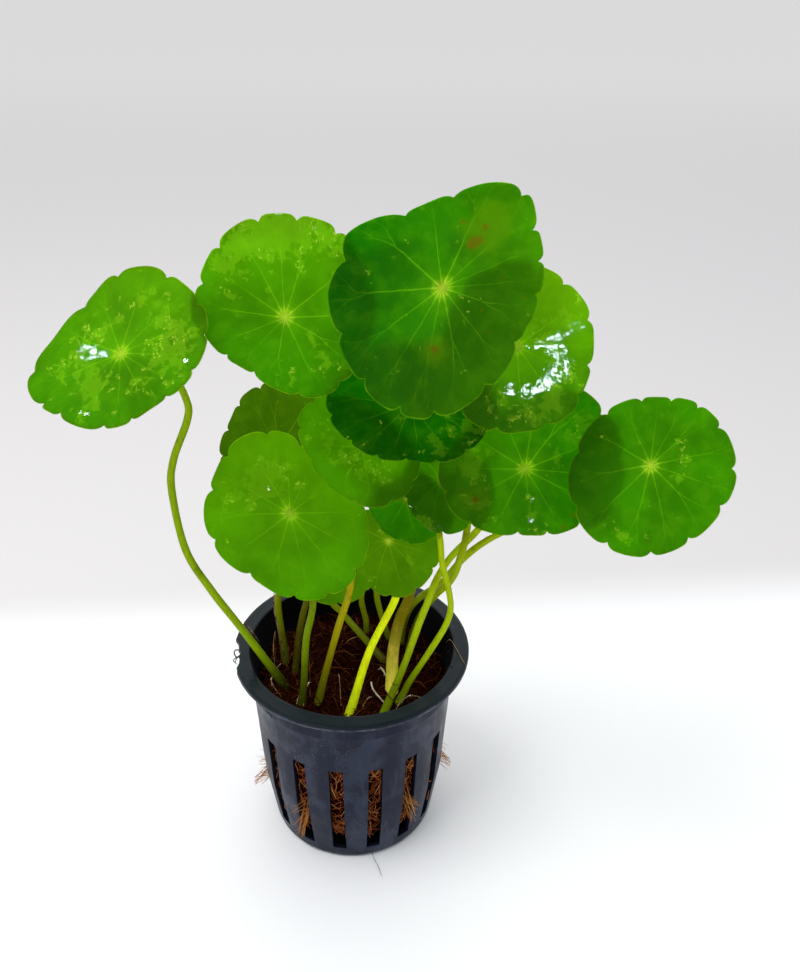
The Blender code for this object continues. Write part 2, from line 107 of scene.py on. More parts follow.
class Shader:
    """The nodes of a material or of the sky, with one short call for each kind of node that is used."""

    def __init__(self, owner):
        owner.use_nodes = True
        self.owner = owner
        self.tree = owner.node_tree

    def put(self, socket, value):
        """Sets a socket's own value, or links another node's output to it."""
        if isinstance(value, Value):
            self.tree.links.new(value.socket, socket)
        elif socket.type == "RGBA":
            socket.default_value = (*value, 1.0)
        else:
            socket.default_value = value

    def node(self, kind, values=None, output=0, **settings):
        made = self.tree.nodes.new("ShaderNode" + kind)
        for key, value in settings.items():
            setattr(made, key, value)
        for key, value in (values or {}).items():
            self.put(made.inputs[key], value)
        return Value(self, made.outputs[output])

    def math(self, operation, a, b=0.0):
        return self.node("Math", {0: a, 1: b}, operation=operation)

    def mix(self, share, a, b, blend="MIX"):
        """A colour: a where share is 0 and b where it is 1."""
        return self.node("Mix", {0: share, 6: a, 7: b}, 2, data_type="RGBA", blend_type=blend)

    def over(self, colour, *layers):
        """The colour with others laid over it in turn, each by its own share."""
        for share, layer in layers:
            colour = self.mix(share, colour, layer)
        return colour

    def step(self, value, low, high, out_low=0.0, out_high=1.0):
        """A smooth step of value from out_low at low to out_high at high."""
        ends = {0: value, 1: low, 2: high, 3: out_low, 4: out_high}
        return self.node("MapRange", ends, interpolation_type="SMOOTHSTEP")

    def place(self):
        """The point's own coordinates in metres."""
        return self.node("TexCoord", output="Object")

    def stretched(self, vector, scale, turn=(0.0, 0.0, 0.0)):
        return self.node("Mapping", {"Vector": vector, "Scale": scale, "Rotation": turn})

    def noise(self, vector, grain, detail=3.0, roughness=0.5):
        """Noise from 0 to 1 whose lumps are about grain metres across."""
        values = {"Vector": vector, "Scale": 1.0 / grain, "Detail": detail, "Roughness": roughness}
        return self.node("TexNoise", values)

    def attribute(self, name):
        return self.node("Attribute", output="Fac", attribute_name=name)

    def bump(self, height, distance, strength=1.0, before=None):
        values = {"Height": height, "Distance": distance, "Strength": strength}
        if before is not None:
            values["Normal"] = before
        return self.node("Bump", values)

    def surface(self, colour, roughness, normal=None, **others):
        """Fills the Principled shader, whose other sockets are given by name, and gives the material."""
        values = {"Base Color": colour, "Roughness": roughness, **others}
        if normal is not None:
            values["Normal"] = normal
        for key, value in values.items():
            self.put(self.tree.nodes["Principled BSDF"].inputs[key.replace("_", " ")], value)
        return self.owner


def floor_finish():
    """Pale and dull, grey beyond a soft line behind the pot, and painted paler again far away, where the
    lamps' light falls off.
    """
    s = Shader(bpy.data.materials.new("pale_floor"))
    turned = s.stretched(s.place(), (1.0, 1.0, 1.0), (0.0, 0.0, -FLOOR_LINE_SLOPE))
    behind = s.node("SeparateXYZ", {0: turned}, 1)
    tone = s.mix(s.step(behind, *FLOOR_TURNS_GREY), FLOOR_NEAR, FLOOR_BEHIND)
    tone = s.mix(s.step(behind, *FLOOR_TURNS_PAINTED_PALER), tone, FLOOR_FAR_PAINTED_PALER)
    return s.surface(tone, 0.6, Specular_IOR_Level=0.0)


floor_mesh = bpy.data.meshes.new("floor")
floor_corners = [(FLOOR_HALF * x, FLOOR_HALF * y, 0) for x, y in ((-1, -1), (1, -1), (1, 1), (-1, 1))]
floor_mesh.from_pydata(floor_corners, [], [(0, 1, 2, 3)])
floor_mesh.materials.append(floor_finish())
floor = bpy.data.objects.new("floor", floor_mesh)
bpy.context.scene.collection.objects.link(floor)


# Light. Pale soft daylight, dimmer in front. Light from low behind shines through the leaves: only leaves
# and stalks take it, and only the leaf blades shade it. A soft light hangs above, and three small bright
# panels, seen only in reflections, put the wet highlights on the leaves.
WORLD_IN_FRONT = (0.40, 0.43, 0.47)
WORLD_BEHIND = (1.10, 1.11, 1.13)
WORLD_GLOW = (1.75, 1.75, 1.72)

sky = Shader(bpy.data.worlds.new("daylight"))
backwards = sky.node("SeparateXYZ", {0: sky.node("TexCoord", output="Generated")}, 1)
daylight = sky.mix(sky.step(backwards, -0.6, 0.5), WORLD_IN_FRONT, WORLD_BEHIND)
daylight = sky.mix(sky.step(backwards, 0.5, 0.97), daylight, WORLD_GLOW)
sky.put(sky.tree.nodes["Background"].inputs["Color"], daylight)
bpy.context.scene.world = sky.owner


def soft_light(name, place, aim, size, power, colour=(1.0, 1.0, 1.0)):
    """A rectangular light of the given size in metres at place, facing aim."""
    data = bpy.data.lights.new(name, "AREA")
    data.shape = "RECTANGLE"
    data.size, data.size_y = size
    data.energy = power
    data.color = colour
    light = bpy.data.objects.new(name, data)
    bpy.context.scene.collection.objects.link(light)
    light.location = place
    light.rotation_euler = (Vector(aim) - Vector(place)).to_track_quat("-Z", "Y").to_euler()
    light.visible_camera = False
    return light


sun_data = bpy.data.lights.new("glow_from_behind", "SUN")
sun_data.energy = 3.3
sun_data.angle = math.radians(8)
sun_data.color = (1.0, 0.99, 0.95)
sun = bpy.data.objects.new("glow_from_behind", sun_data)
bpy.context.scene.collection.objects.link(sun)
sun.rotation_euler = Vector((0.0, -1.0, 0.30)).to_track_quat("-Z", "Y").to_euler()
plant = bpy.data.collections.new("plant")
blades = bpy.data.collections.new("blades")
sun.light_linking.receiver_collection = plant
sun.light_linking.blocker_collection = blades

soft_light("light_above", (-0.24, -0.16, 0.68), (0.0, 0.0, 0.08), (0.36, 0.36), 2.5)
for panel in (
    ("window_right", (0.347, -0.461, 0.592), (0.041, -0.017, 0.146), (0.20, 0.16), 5.0, (0.84, 0.93, 1.0)),
    ("window_left", (-0.583, -0.141, 0.574), (-0.048, -0.014, 0.139), (0.12, 0.10), 2.4, (0.86, 0.94, 1.0)),
    ("window_front", (0.05, -0.60, 0.72), (-0.016, -0.009, 0.106), (0.15, 0.12), 2.0, (1.0, 0.98, 0.92)),
):
    soft_light(*panel).visible_diffuse = False


# Net pot. One moulding of dark charcoal plastic: a tapered cup pierced by sixteen slots, with a step under
# its flat rim. The rim is chipped on the left, and the moulding is scuffed and water-marked.
POT_HEIGHT = 55.0
RIM_RADIUS = 30.0
MOUTH_RADIUS = 25.8
RIM_THICKNESS = 1.4
RIM_BEVEL = 0.5
WALL = 1.3
COLLAR_RADIUS = 27.1
COLLAR_BOTTOM = 47.4
BASE_ROUNDING = 1.5
BASE_THICKNESS = 1.5
WALL_LINE = ((22.1, BASE_ROUNDING), (24.4, 18.0), (25.9, COLLAR_BOTTOM))
SLOTS = 16
SLOT_WIDTH = 3.6
SLOT_BOTTOM = 4.0
SLOT_TOP = 35.5
FIRST_SLOT_ANGLE = -96.5
BASE_SLOT_WIDTH = 3.0
BASE_SLOT_REACH = (8.0, 17.0)
BASE_MIDDLE = 4.0
BASE_EDGE = 19.0
RIM_COAT = (0.16, 0.16, 0.16)
NO_COAT = (0.0, 0.0, 0.0)
CHIP_CENTRE = (-48.2, -8.1)
CHIP_RADIUS = 20.4
CHIP_JAG = 0.35
SLOT_COLUMNS = 4
RIB_COLUMNS = 10
SLOT_ROWS = 16
BASE_SLOT_ROWS = 5
ROWS_OVER_SLOTS = (38.0, 41.0, 44.0, 46.6)
ROWS_INSIDE_COLLAR = (52.0, 50.0, COLLAR_BOTTOM)
ROWS_INSIDE_WALL = (44.0, 40.0)


def new_object(name, points, faces, finish, slot, nodes=(), uv=None, smooth=None):
    """A piece from points in millimetres and faces, on the root body, that stands for the given nodes."""
    mesh = bpy.data.meshes.new(name)
    mesh.from_pydata(np.asarray(points, float) * MM, [], faces)
    mesh.materials.append(finish)
    for layer, corners in (uv or {}).items():
        mesh.uv_layers.new(name=layer).data.foreach_set("uv", np.asarray(corners, np.float32).ravel())
    mesh.shade_smooth()
    if smooth is not None:
        mesh.set_sharp_from_angle(angle=math.radians(smooth))
    piece = bpy.data.objects.new(name, mesh)
    bpy.context.scene.collection.objects.link(piece)
    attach(piece, "root")
    if slot not in ("pot", "coir"):
        plant.objects.link(piece)
    if nodes:
        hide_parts(*nodes)
    return piece


def add_marks(piece, marks):
    """Keeps one number a point on the piece under each mark's name, for its material to read."""
    for mark, values in marks.items():
        layer = piece.data.attributes.new(mark, "FLOAT", "POINT")
        layer.data.foreach_set("value", values.astype(np.float32))


def wall_outside(height):
    radii, heights = zip(*WALL_LINE)
    return np.interp(height, heights, radii)


def pot_profile():
    """Rows of the turned profile as radius and height, from the middle of the underside, round the rim and
    down the inside to the middle of the floor. The slot rows outside and inside have equal heights."""
    arc = np.radians(np.linspace(0, 90, 5))
    slot_heights = np.linspace(SLOT_BOTTOM, SLOT_TOP, SLOT_ROWS)
    base_radii = np.linspace(*BASE_SLOT_REACH, BASE_SLOT_ROWS)
    foot = WALL_LINE[0][0] - BASE_ROUNDING
    rows = [(BASE_MIDDLE, 0.0)] + [(r, 0.0) for r in base_radii] + [(BASE_EDGE, 0.0)]
    rows += [(foot + BASE_ROUNDING * math.sin(a), BASE_ROUNDING * (1 - math.cos(a))) for a in arc]
    rows += [(wall_outside(z), z) for z in slot_heights]
    rows += [(wall_outside(z), z) for z in ROWS_OVER_SLOTS]
    top = POT_HEIGHT - RIM_THICKNESS
    rows += [
        (wall_outside(COLLAR_BOTTOM) + 0.1, COLLAR_BOTTOM - 0.2),
        (COLLAR_RADIUS - 0.3, COLLAR_BOTTOM + 0.15),
        (COLLAR_RADIUS, COLLAR_BOTTOM + 0.5),
        (COLLAR_RADIUS, 50.0),
        (COLLAR_RADIUS, top - 0.5),
        (COLLAR_RADIUS + 0.15, top - 0.15),
        (COLLAR_RADIUS + 0.5, top),
        (28.6, top),
        (RIM_RADIUS - 0.25, top),
        (RIM_RADIUS, top + 0.25),
        (RIM_RADIUS, POT_HEIGHT - RIM_BEVEL),
        (RIM_RADIUS - 0.15, POT_HEIGHT - 0.15),
        (RIM_RADIUS - RIM_BEVEL, POT_HEIGHT),
        (28.7, POT_HEIGHT - 0.05),
        (27.7, POT_HEIGHT - 0.08),
        (26.8, POT_HEIGHT - 0.05),
        (MOUTH_RADIUS + RIM_BEVEL, POT_HEIGHT),
        (MOUTH_RADIUS + 0.15, POT_HEIGHT - 0.15),
        (MOUTH_RADIUS, POT_HEIGHT - RIM_BEVEL),
    ]
    mouth = (wall_outside(COLLAR_BOTTOM) - WALL, MOUTH_RADIUS)
    rows += [(np.interp(z, (COLLAR_BOTTOM, POT_HEIGHT), mouth), z) for z in ROWS_INSIDE_COLLAR]
    rows += [(wall_outside(z) - WALL, z) for z in ROWS_INSIDE_WALL]
    rows += [(wall_outside(z) - WALL, z) for z in slot_heights[::-1]]
    inner_foot = wall_outside(SLOT_BOTTOM) - WALL
    rows += [(inner_foot - 0.3, BASE_THICKNESS + 0.9), (inner_foot - 1.2, BASE_THICKNESS)]
    rows += [(r, BASE_THICKNESS) for r in (BASE_EDGE, *base_radii[::-1], BASE_MIDDLE)]
    return np.array(rows)


def chip_limit(angles):
    """Largest radius that the chip leaves in the rim: the near side of the chip's circle, made jagged."""
    centre = math.hypot(*CHIP_CENTRE)
    off = angles - math.atan2(CHIP_CENTRE[1], CHIP_CENTRE[0])
    side = centre * np.sin(off)
    hit = (np.abs(side) < CHIP_RADIUS) & (np.cos(off) > 0)
    near = centre * np.cos(off) - np.sqrt(np.maximum(CHIP_RADIUS**2 - side**2, 0))
    jag = CHIP_JAG * np.sin(41 * angles) * np.sin(97 * angles + 1.0)
    return np.where(hit, np.minimum(near + jag, RIM_RADIUS), RIM_RADIUS)


def wrapped_quads(rows, columns):
    """Corners of each quad of a grid of points, counted row after row, whose last column joins its first."""
    r, c = np.meshgrid(np.arange(rows - 1), np.arange(columns), indexing="ij")
    n = (c + 1) % columns
    return np.stack([r * columns + c, r * columns + n, (r + 1) * columns + n, (r + 1) * columns + c], -1)


def pole_fans(rows, columns):
    """Triangles that close such a grid: its first and last rows join two poles, counted after its points."""
    ring = np.arange(columns)
    following = (ring + 1) % columns
    pole = rows * columns
    start = np.stack([np.full(columns, pole), following, ring], -1)
    end = np.stack([np.full(columns, pole + 1), pole - columns + ring, pole - columns + following], -1)
    return start.tolist() + end.tolist()


def pot_surface():
    """Points and faces of the pot. Each row of the profile is turned through the same columns, which follow
    the slots: a slot's two edges stay a fixed width apart, whatever the radius, and the faces between them
    are left out and joined from outside to inside."""
    rows = pot_profile()
    radius, height = rows[:, 0], rows[:, 1]
    base_rows = height <= BASE_THICKNESS
    half = np.where(base_rows, BASE_SLOT_WIDTH, SLOT_WIDTH) / 2
    half_angle = np.arcsin(half / np.maximum(radius, BASE_SLOT_REACH[0]))
    sector = 2 * math.pi / SLOTS
    across = np.arange(SLOT_COLUMNS) / SLOT_COLUMNS * 2 - 1
    along = np.arange(RIB_COLUMNS) / RIB_COLUMNS
    in_slot = half_angle[:, None] * across
    in_rib = half_angle[:, None] + (sector - 2 * half_angle[:, None]) * along
    one = np.concatenate([in_slot, in_rib], axis=1)
    starts = math.radians(FIRST_SLOT_ANGLE) + np.arange(SLOTS) * sector
    angles = (starts[None, :, None] + one[:, None, :]).reshape(len(rows), -1)
    columns = angles.shape[1]
    spread = np.repeat(radius[:, None], columns, axis=1)
    limit = chip_limit(angles)
    collar = COLLAR_RADIUS
    rim = (height > POT_HEIGHT - RIM_THICKNESS - 0.01) & (radius > collar)
    squeezed = collar + (spread - collar) * (limit - collar) / (RIM_RADIUS - collar)
    spread = np.where(rim[:, None], squeezed, spread)
    heights = np.repeat(height[:, None], columns, 1)
    grid = np.stack([spread * np.cos(angles), spread * np.sin(angles), heights], -1)
    points = np.vstack([grid.reshape(-1, 3), [(0, 0, 0)], [(0, 0, BASE_THICKNESS)]])

    outside = np.where(np.isclose(height, SLOT_BOTTOM) & (radius > 20))[0]
    slot_low, inner_low = outside[0], outside[-1]
    slot_high = slot_low + SLOT_ROWS - 1
    inner_high = inner_low - SLOT_ROWS + 1
    base_low, floor_high = 1, len(rows) - 2
    base_high, floor_low = base_low + BASE_SLOT_ROWS - 1, floor_high - BASE_SLOT_ROWS + 1
    per_sector = SLOT_COLUMNS + RIB_COLUMNS
    holes = [(s, slot_low, slot_high, inner_low, inner_high) for s in range(SLOTS)]
    holes += [(s, base_low, base_high, floor_high, floor_low) for s in range(1, SLOTS, 2)]

    def corner(row, column):
        return row * columns + column

    keep = np.ones((len(rows) - 1, columns), bool)
    sides = []
    for s, low, high, far_low, far_high in holes:
        a = s * per_sector
        b = a + SLOT_COLUMNS
        keep[low:high, a:b] = False
        keep[far_high:far_low, a:b] = False
        for k in range(high - low):
            o, i = low + k, far_low - k
            sides.append((corner(i, a), corner(i - 1, a), corner(o + 1, a), corner(o, a)))
            sides.append((corner(i - 1, b), corner(i, b), corner(o, b), corner(o + 1, b)))
        for k in range(a, b):
            sides.append((corner(far_low, k + 1), corner(far_low, k), corner(low, k), corner(low, k + 1)))
            sides.append((corner(far_high, k), corner(far_high, k + 1), corner(high, k + 1), corner(high, k)))
    quads = wrapped_quads(len(rows), columns)[keep]
    return points, quads.tolist() + sides + pole_fans(len(rows), columns)


def plastic_finish():
    """Charcoal plastic with fine moulding grain, fine scratches, downward water streaks, pale bluish patches
    of dried water marks that are partly painted sheen, and thin pale tide lines. Its inside is dull and
    painted near-black as shade, the rim's top is duller than the wall, and the rim's lower edge is painted
    pale, partly as wear and partly as a painted edge highlight."""
    s = Shader(bpy.data.materials.new("charcoal_plastic"))
    place = s.place()
    cloud = s.noise(place, 0.012, 4.0, 0.6)
    grain = s.noise(place, 0.0005, 2.0)
    streaks = s.step(s.noise(s.stretched(place, (1.0, 1.0, 0.10)), 0.0016, 3.0, 0.6), 0.56, 0.72)
    scratch = s.noise(s.stretched(place, (1.0, 1.0, 9.0), (0.3, 0.2, 0.5)), 0.004, 2.0, 0.6)
    scratches = s.step(abs(scratch - 0.5), 0.008, 0.0) * s.step(s.noise(place, 0.007, 1.0), 0.56, 0.66)
    film = s.noise(s.stretched(place, (1.0, 1.0, 0.6)), 0.008, 3.0, 0.65)
    # Pale bluish patches: dried water marks, and partly painted sheen
    haze_and_painted_sheen = s.step(film, 0.50, 0.60)
    tide = s.step(abs(film - 0.515), 0.008, 0.002) * s.step(s.noise(place, 0.010, 1.0), 0.56, 0.66)
    # The inside is painted near-black as the shade inside the cup, and made dull
    inside = s.attribute("inside")
    top = s.attribute("top")
    # The rim's pale lower edge: partly wear, partly a painted edge highlight
    rim_edge_wear_and_highlight = s.attribute("rim_edge_wear_and_highlight") * s.step(s.noise(place, 0.003, 3.0, 0.7), 0.38, 0.60, 0.25, 1.0)
    colour = s.over(
        s.mix(cloud, (0.003, 0.005, 0.016), (0.008, 0.012, 0.034)),
        (haze_and_painted_sheen * 0.6, (0.018, 0.027, 0.062)),
        (streaks * 0.30, (0.05, 0.058, 0.09)),
        (scratches * 0.5, (0.14, 0.15, 0.19)),
        (tide * 0.18, (0.16, 0.18, 0.24)),
        (rim_edge_wear_and_highlight * 0.6, (0.22, 0.21, 0.20)),
        (top, (0.004, 0.009, 0.011)),
        (inside, (0.002, 0.0015, 0.0015)),
    )
    rough = s.math("MAXIMUM", s.step(cloud, 0.3, 0.7, 0.34, 0.52) - streaks * 0.16 - haze_and_painted_sheen * 0.08, inside)
    normal = s.bump(grain, 0.00004, 0.6)
    normal = s.bump(s.noise(place, 0.006, 2.0), 0.0003, 0.5, normal)
    normal = s.bump(scratches, 0.00005, 0.7, normal)
    coat = s.over(s.step(film, 0.35, 0.60, 0.10, 0.26), (top, RIM_COAT), (inside, NO_COAT))
    return s.surface(colour, rough, normal, Specular_IOR_Level=0.08, Specular_Tint=(0.70, 0.80, 1.0),
                     Coat_Weight=coat, Coat_Roughness=0.22, Coat_IOR=1.5, Coat_Normal=normal)


pot_points, pot_faces = pot_surface()
pot = new_object("pot_moulding", pot_points, pot_faces, plastic_finish(), "pot", ["net_pot"], smooth=38)
pot_radius, pot_height = np.hypot(pot_points[:, 0], pot_points[:, 1]), pot_points[:, 2]
middle_of_wall = np.where(pot_height > COLLAR_BOTTOM, MOUTH_RADIUS + 0.3, wall_outside(pot_height) - WALL / 2)
add_marks(pot, {
    # the inside, painted dark as shade
    "inside": pot_radius < middle_of_wall,
    "rim_edge_wear_and_highlight": (pot_radius > RIM_RADIUS - 0.4) & (pot_height < POT_HEIGHT - RIM_THICKNESS + 0.4),
    "top": (pot_radius > MOUTH_RADIUS - 0.1) & (pot_height > POT_HEIGHT - 0.3),
})
bevel = pot.modifiers.new("worn_edges", "BEVEL")
bevel.width = 0.22 * MM
bevel.segments = 2
bevel.limit_method = "ANGLE"
bevel.angle_limit = math.radians(60)


# Coir. The plug that the plant is rooted in: dark wet coir dust packed out to the wall and up to 10 mm
# below the rim, with its lower edge rounded, so that the slots are empty at their very bottom.
COIR_TOP = 45.0
COIR_LUMP = 0.9
COIR_CLEARANCE = 0.45
COIR_FOOT = ((7.0, 0.0), (14.5, 0.0), (18.5, 2.5))
COIR_BASE = BASE_THICKNESS + 0.3
COIR_TOUCH = 9.0
COIR_COLUMNS = 144
COIR_SIDE_ROWS = 24
COIR_TOP_ROWS = 22


def skin(rings, first_pole, last_pole):
    """Points, faces and per-corner (column, row) shares of a closed surface: rings of points carried from one
    pole to the other, joined by quads, with a fan of triangles at each pole."""
    rows, columns = rings.shape[:2]
    points = np.vstack([rings.reshape(-1, 3), [first_pole], [last_pole]])
    quads = wrapped_quads(rows, columns).reshape(-1, 4)
    r, c = quads[:, 0] // columns, quads[:, 0] % columns
    u0, u1 = c / columns, (c + 1) / columns
    v0, v1 = (r + 1) / (rows + 1), (r + 2) / (rows + 1)
    quad_uv = np.stack([u0, v0, u1, v0, u1, v1, u0, v1], -1).reshape(-1, 2)
    w0, w1 = np.arange(columns) / columns, (np.arange(columns) + 1) / columns
    edge = np.full(columns, 1 / (rows + 1))
    none, full = np.zeros(columns), np.ones(columns)
    start_uv = np.stack([(w0 + w1) / 2, none, w1, edge, w0, edge], -1).reshape(-1, 2)
    end_uv = np.stack([(w0 + w1) / 2, full, w0, 1 - edge, w1, 1 - edge], -1).reshape(-1, 2)
    return points, quads.tolist() + pole_fans(rows, columns), np.vstack([quad_uv, start_uv, end_uv])


def coir_height(x, y):
    """Uneven top of the coir: three low waves that cross."""
    return COIR_TOP + COIR_LUMP * (
        np.sin(0.42 * x + 0.6) * np.cos(0.36 * y - 0.3)
        + 0.5 * np.sin(0.8 * y + 0.5 * x)
        + 0.3 * np.cos(0.9 * x - 0.7 * y)
    )


def coir_side(height):
    return wall_outside(height) - WALL - COIR_CLEARANCE


def coir_surface():
    """A turned plug whose side is pushed in and out by crossing sine waves, and whose top follows
    coir_height with finer lumps added."""
    foot = [(radius, COIR_BASE + z) for radius, z in COIR_FOOT]
    sides = [(coir_side(z), z) for z in np.linspace(COIR_TOUCH, COIR_TOP - 1.6, COIR_SIDE_ROWS)]
    edge = coir_side(COIR_TOP)
    tops = [(edge - 0.3, COIR_TOP - 0.6)]
    tops += [(r, COIR_TOP) for r in np.linspace(edge - 1.0, 1.5, COIR_TOP_ROWS)]
    profile = np.array(foot + sides + tops)
    angle = np.arange(COIR_COLUMNS) * 2 * math.pi / COIR_COLUMNS
    radius, height = profile[:, 0:1], profile[:, 1:2]
    lump = 0.35 * np.sin(9 * angle + 0.5 * height) * np.sin(0.7 * height + 5 * angle)
    lump = lump + 0.2 * np.sin(23 * angle - height)
    pressed = np.where((radius > 18) & (height < COIR_TOP), np.minimum(lump, 0.15) - 0.35, 0.0)
    out = radius + pressed
    x, y = out * np.cos(angle), out * np.sin(angle)
    fine = 0.22 * np.sin(2.3 * x + 1.1 * y) * np.cos(1.9 * y - 0.6) + 0.12 * np.sin(4.4 * x - 3.1 * y)
    z = np.where(height >= COIR_TOP - 0.7, coir_height(x, y) + fine - (COIR_TOP - height), height + 0 * angle)
    rings = np.stack([x, y, z], -1)
    return skin(rings, (0, 0, COIR_BASE), (0, 0, coir_height(0, 0)))


def coir_finish():
    """Dark red-brown peat-like dust, wet in patches, with paler fibres in its grain."""
    s = Shader(bpy.data.materials.new("coir_dust"))
    place = s.place()
    coarse = s.noise(place, 0.003, 4.0, 0.6)
    fine = s.noise(place, 0.0006, 4.0, 0.7)
    colour = s.mix(coarse, (0.005, 0.0009, 0.0004), (0.026, 0.0042, 0.0012))
    colour = s.mix(s.step(fine, 0.60, 0.78), colour, (0.10, 0.022, 0.006))
    rough = s.step(coarse, 0.35, 0.6, 0.6, 0.95)
    normal = s.bump(coarse, 0.0012, 0.8, s.bump(fine, 0.0004))
    return s.surface(colour, rough, normal, Specular_IOR_Level=0.0)


new_object("coir_dust_plug", *coir_surface()[:2], coir_finish(), "coir", ["coir_plug"])


# Coir fibres. Coarse husk fibres lie over the top of the plug, press against the wall behind the slots and
# stick out of them in four tufts. Each fibre is a thin hair of its own.
FIBRE_SIDES = 3
FIBRE_STEPS = 7
TOP_FIBRES = 1400
TOP_MIDDLES = 23.6
TOP_REACH = 24.3
FIBRES_PER_SLOT = 120
GOLDEN_SHARE = 0.6180339


def unit(v):
    return v / np.maximum(np.linalg.norm(v, axis=-1, keepdims=True), 1e-9)


def hairs(paths, radii, sides=FIBRE_SIDES):
    """Points, faces and a random share for each corner, for many capped tubes at once. paths is hairs by
    steps by 3 and radii is hairs by steps: each ring stands square to its path, a side direction found once
    for each hair."""
    count, steps = paths.shape[:2]
    tangent = unit(np.gradient(paths, axis=1))
    middle = unit(paths[:, -1] - paths[:, 0])
    helper = np.where(np.abs(middle[:, 2:3]) > 0.8, (1.0, 0.0, 0.0), (0.0, 0.0, 1.0))
    side = unit(np.cross(middle, helper))[:, None, :]
    side = unit(side - tangent * np.sum(side * tangent, axis=-1, keepdims=True))
    other = np.cross(tangent, side)
    turn = np.arange(sides) * 2 * math.pi / sides
    ring = side[:, :, None] * np.cos(turn)[:, None] + other[:, :, None] * np.sin(turn)[:, None]
    points = paths[:, :, None] + ring * radii[:, :, None, None]
    first = np.arange(count)[:, None] * steps * sides
    quads = (first[:, None] + wrapped_quads(steps, sides).reshape(1, -1, 4)).reshape(-1, 4)
    caps = [first + np.arange(sides)[::-1], first + (steps - 1) * sides + np.arange(sides)]
    own = np.arange(count) * GOLDEN_SHARE % 1.0
    share = np.repeat(own, (steps - 1) * sides)
    low = np.tile(np.repeat(np.arange(steps - 1) / (steps - 1), sides), count)
    high = low + 1 / (steps - 1)
    quad_uv = np.stack([share, low, share, low, share, high, share, high], -1).reshape(-1, 2)
    cap_uv = np.repeat(own, sides)
    start_uv = np.stack([cap_uv, np.zeros_like(cap_uv)], -1)
    end_uv = np.stack([cap_uv, np.ones_like(cap_uv)], -1)
    faces = quads.tolist() + caps[0].tolist() + caps[1].tolist()
    return points.reshape(-1, 3), faces, np.vstack([quad_uv, start_uv, end_uv])


def wander(random, count, steps, size):
    """Smooth random offsets along each hair: two sine waves of random direction and phase, as strong at its
    ends as in its middle."""
    t = np.linspace(0, 1, steps)[None, :, None]
    total = 0
    for waves in (0.6, 1.4):
        way = random.normal(size=(count, 1, 3))
        total = total + way * np.sin(2 * math.pi * waves * t + random.uniform(0, 6.28, (count, 1, 1))) / waves
    return total * size


def fibre_finish(name, dark, pale, gold):
    """Husk fibre: each hair has its own share between dark and pale brown, and a few are golden."""
    s = Shader(bpy.data.materials.new(name))
    own = s.node("SeparateXYZ", {0: s.node("UVMap", uv_map="fibre")})
    golden = s.step(s.math("FRACT", own * 37.7), 0.80, 0.95)
    colour = s.over(s.mix(own, dark, pale), (golden, gold), (s.noise(s.place(), 0.002, 2.0), dark))
    return s.surface(colour, 0.7, Specular_IOR_Level=0.01)


def top_fibres():
    """Hairs of 2.5 to 10 mm laid over the top of the coir, each bowed up a little in its middle."""
    random = np.random.default_rng(11)
    count = TOP_FIBRES
    radius = TOP_MIDDLES * np.sqrt(random.uniform(0.02, 1, count))
    turn = random.uniform(0, 2 * math.pi, count)
    centre = np.stack([radius * np.cos(turn), radius * np.sin(turn), np.zeros(count)], -1)
    way = random.uniform(0, 2 * math.pi, count)
    length = random.uniform(2.5, 10, count)
    t = np.linspace(-0.5, 0.5, FIBRE_STEPS)
    along = np.stack([np.cos(way), np.sin(way), random.normal(0, 0.10, count)], -1)
    paths = centre[:, None] + along[:, None] * (length[:, None] * t)[..., None]
    paths = paths + wander(random, count, FIBRE_STEPS, 0.35)
    flat = np.linalg.norm(paths[..., :2], axis=-1)
    squeeze = np.minimum(1.0, TOP_REACH / np.maximum(flat, 1e-6))
    paths[..., :2] *= squeeze[..., None]
    ground = coir_height(paths[..., 0], paths[..., 1])
    bow = random.uniform(0.1, 0.9, count)[:, None] * (1 - (2 * t[None]) ** 2)
    paths[..., 2] = ground + np.maximum(paths[..., 2] + bow, -0.05) + 0.05
    radii = random.uniform(0.05, 0.13, count)[:, None] * (1 - 0.5 * np.abs(2 * t[None]) ** 3)
    return hairs(paths, radii)


def slot_fibres():
    """Hairs of 2 to 7.5 mm between the plug and the wall at each slot. Some bulge into its opening."""
    random = np.random.default_rng(12)
    count = SLOTS * FIBRES_PER_SLOT
    slot = np.repeat(np.arange(SLOTS), FIBRES_PER_SLOT)
    slot_angle = np.radians(FIRST_SLOT_ANGLE) + slot * 2 * math.pi / SLOTS
    height = random.uniform(8.2, SLOT_TOP + 1, count)
    shift = random.uniform(-3.0, 3.0, count)
    lean = random.uniform(-1.25, 1.25, count)
    length = random.uniform(2.0, 7.5, count)
    t = np.linspace(-0.5, 0.5, FIBRE_STEPS)[None]
    z = height[:, None] + np.cos(lean)[:, None] * length[:, None] * t
    across = shift[:, None] + np.sin(lean)[:, None] * length[:, None] * t
    noise = wander(random, count, FIBRE_STEPS, 0.11)
    z = np.clip(z + noise[..., 2], 6.5, SLOT_TOP + 3)
    across = np.clip(across + noise[..., 1], -4.5, 4.5)
    depth = random.uniform(0.15, 1.3, count)[:, None] + 0.4 * np.abs(noise[..., 0])
    radius = wall_outside(z) - WALL - depth
    inside = np.abs(across) < SLOT_WIDTH / 2 - 0.25
    proud = random.uniform(0, 1, count)[:, None] ** 3
    radius = radius + np.where(inside, proud * 1.2, 0)
    angle = slot_angle[:, None] + across / radius
    paths = np.stack([radius * np.cos(angle), radius * np.sin(angle), z], -1)
    radii = random.uniform(0.05, 0.15, count)[:, None] * (1 - 0.4 * np.abs(2 * t) ** 3)
    return hairs(paths, radii)


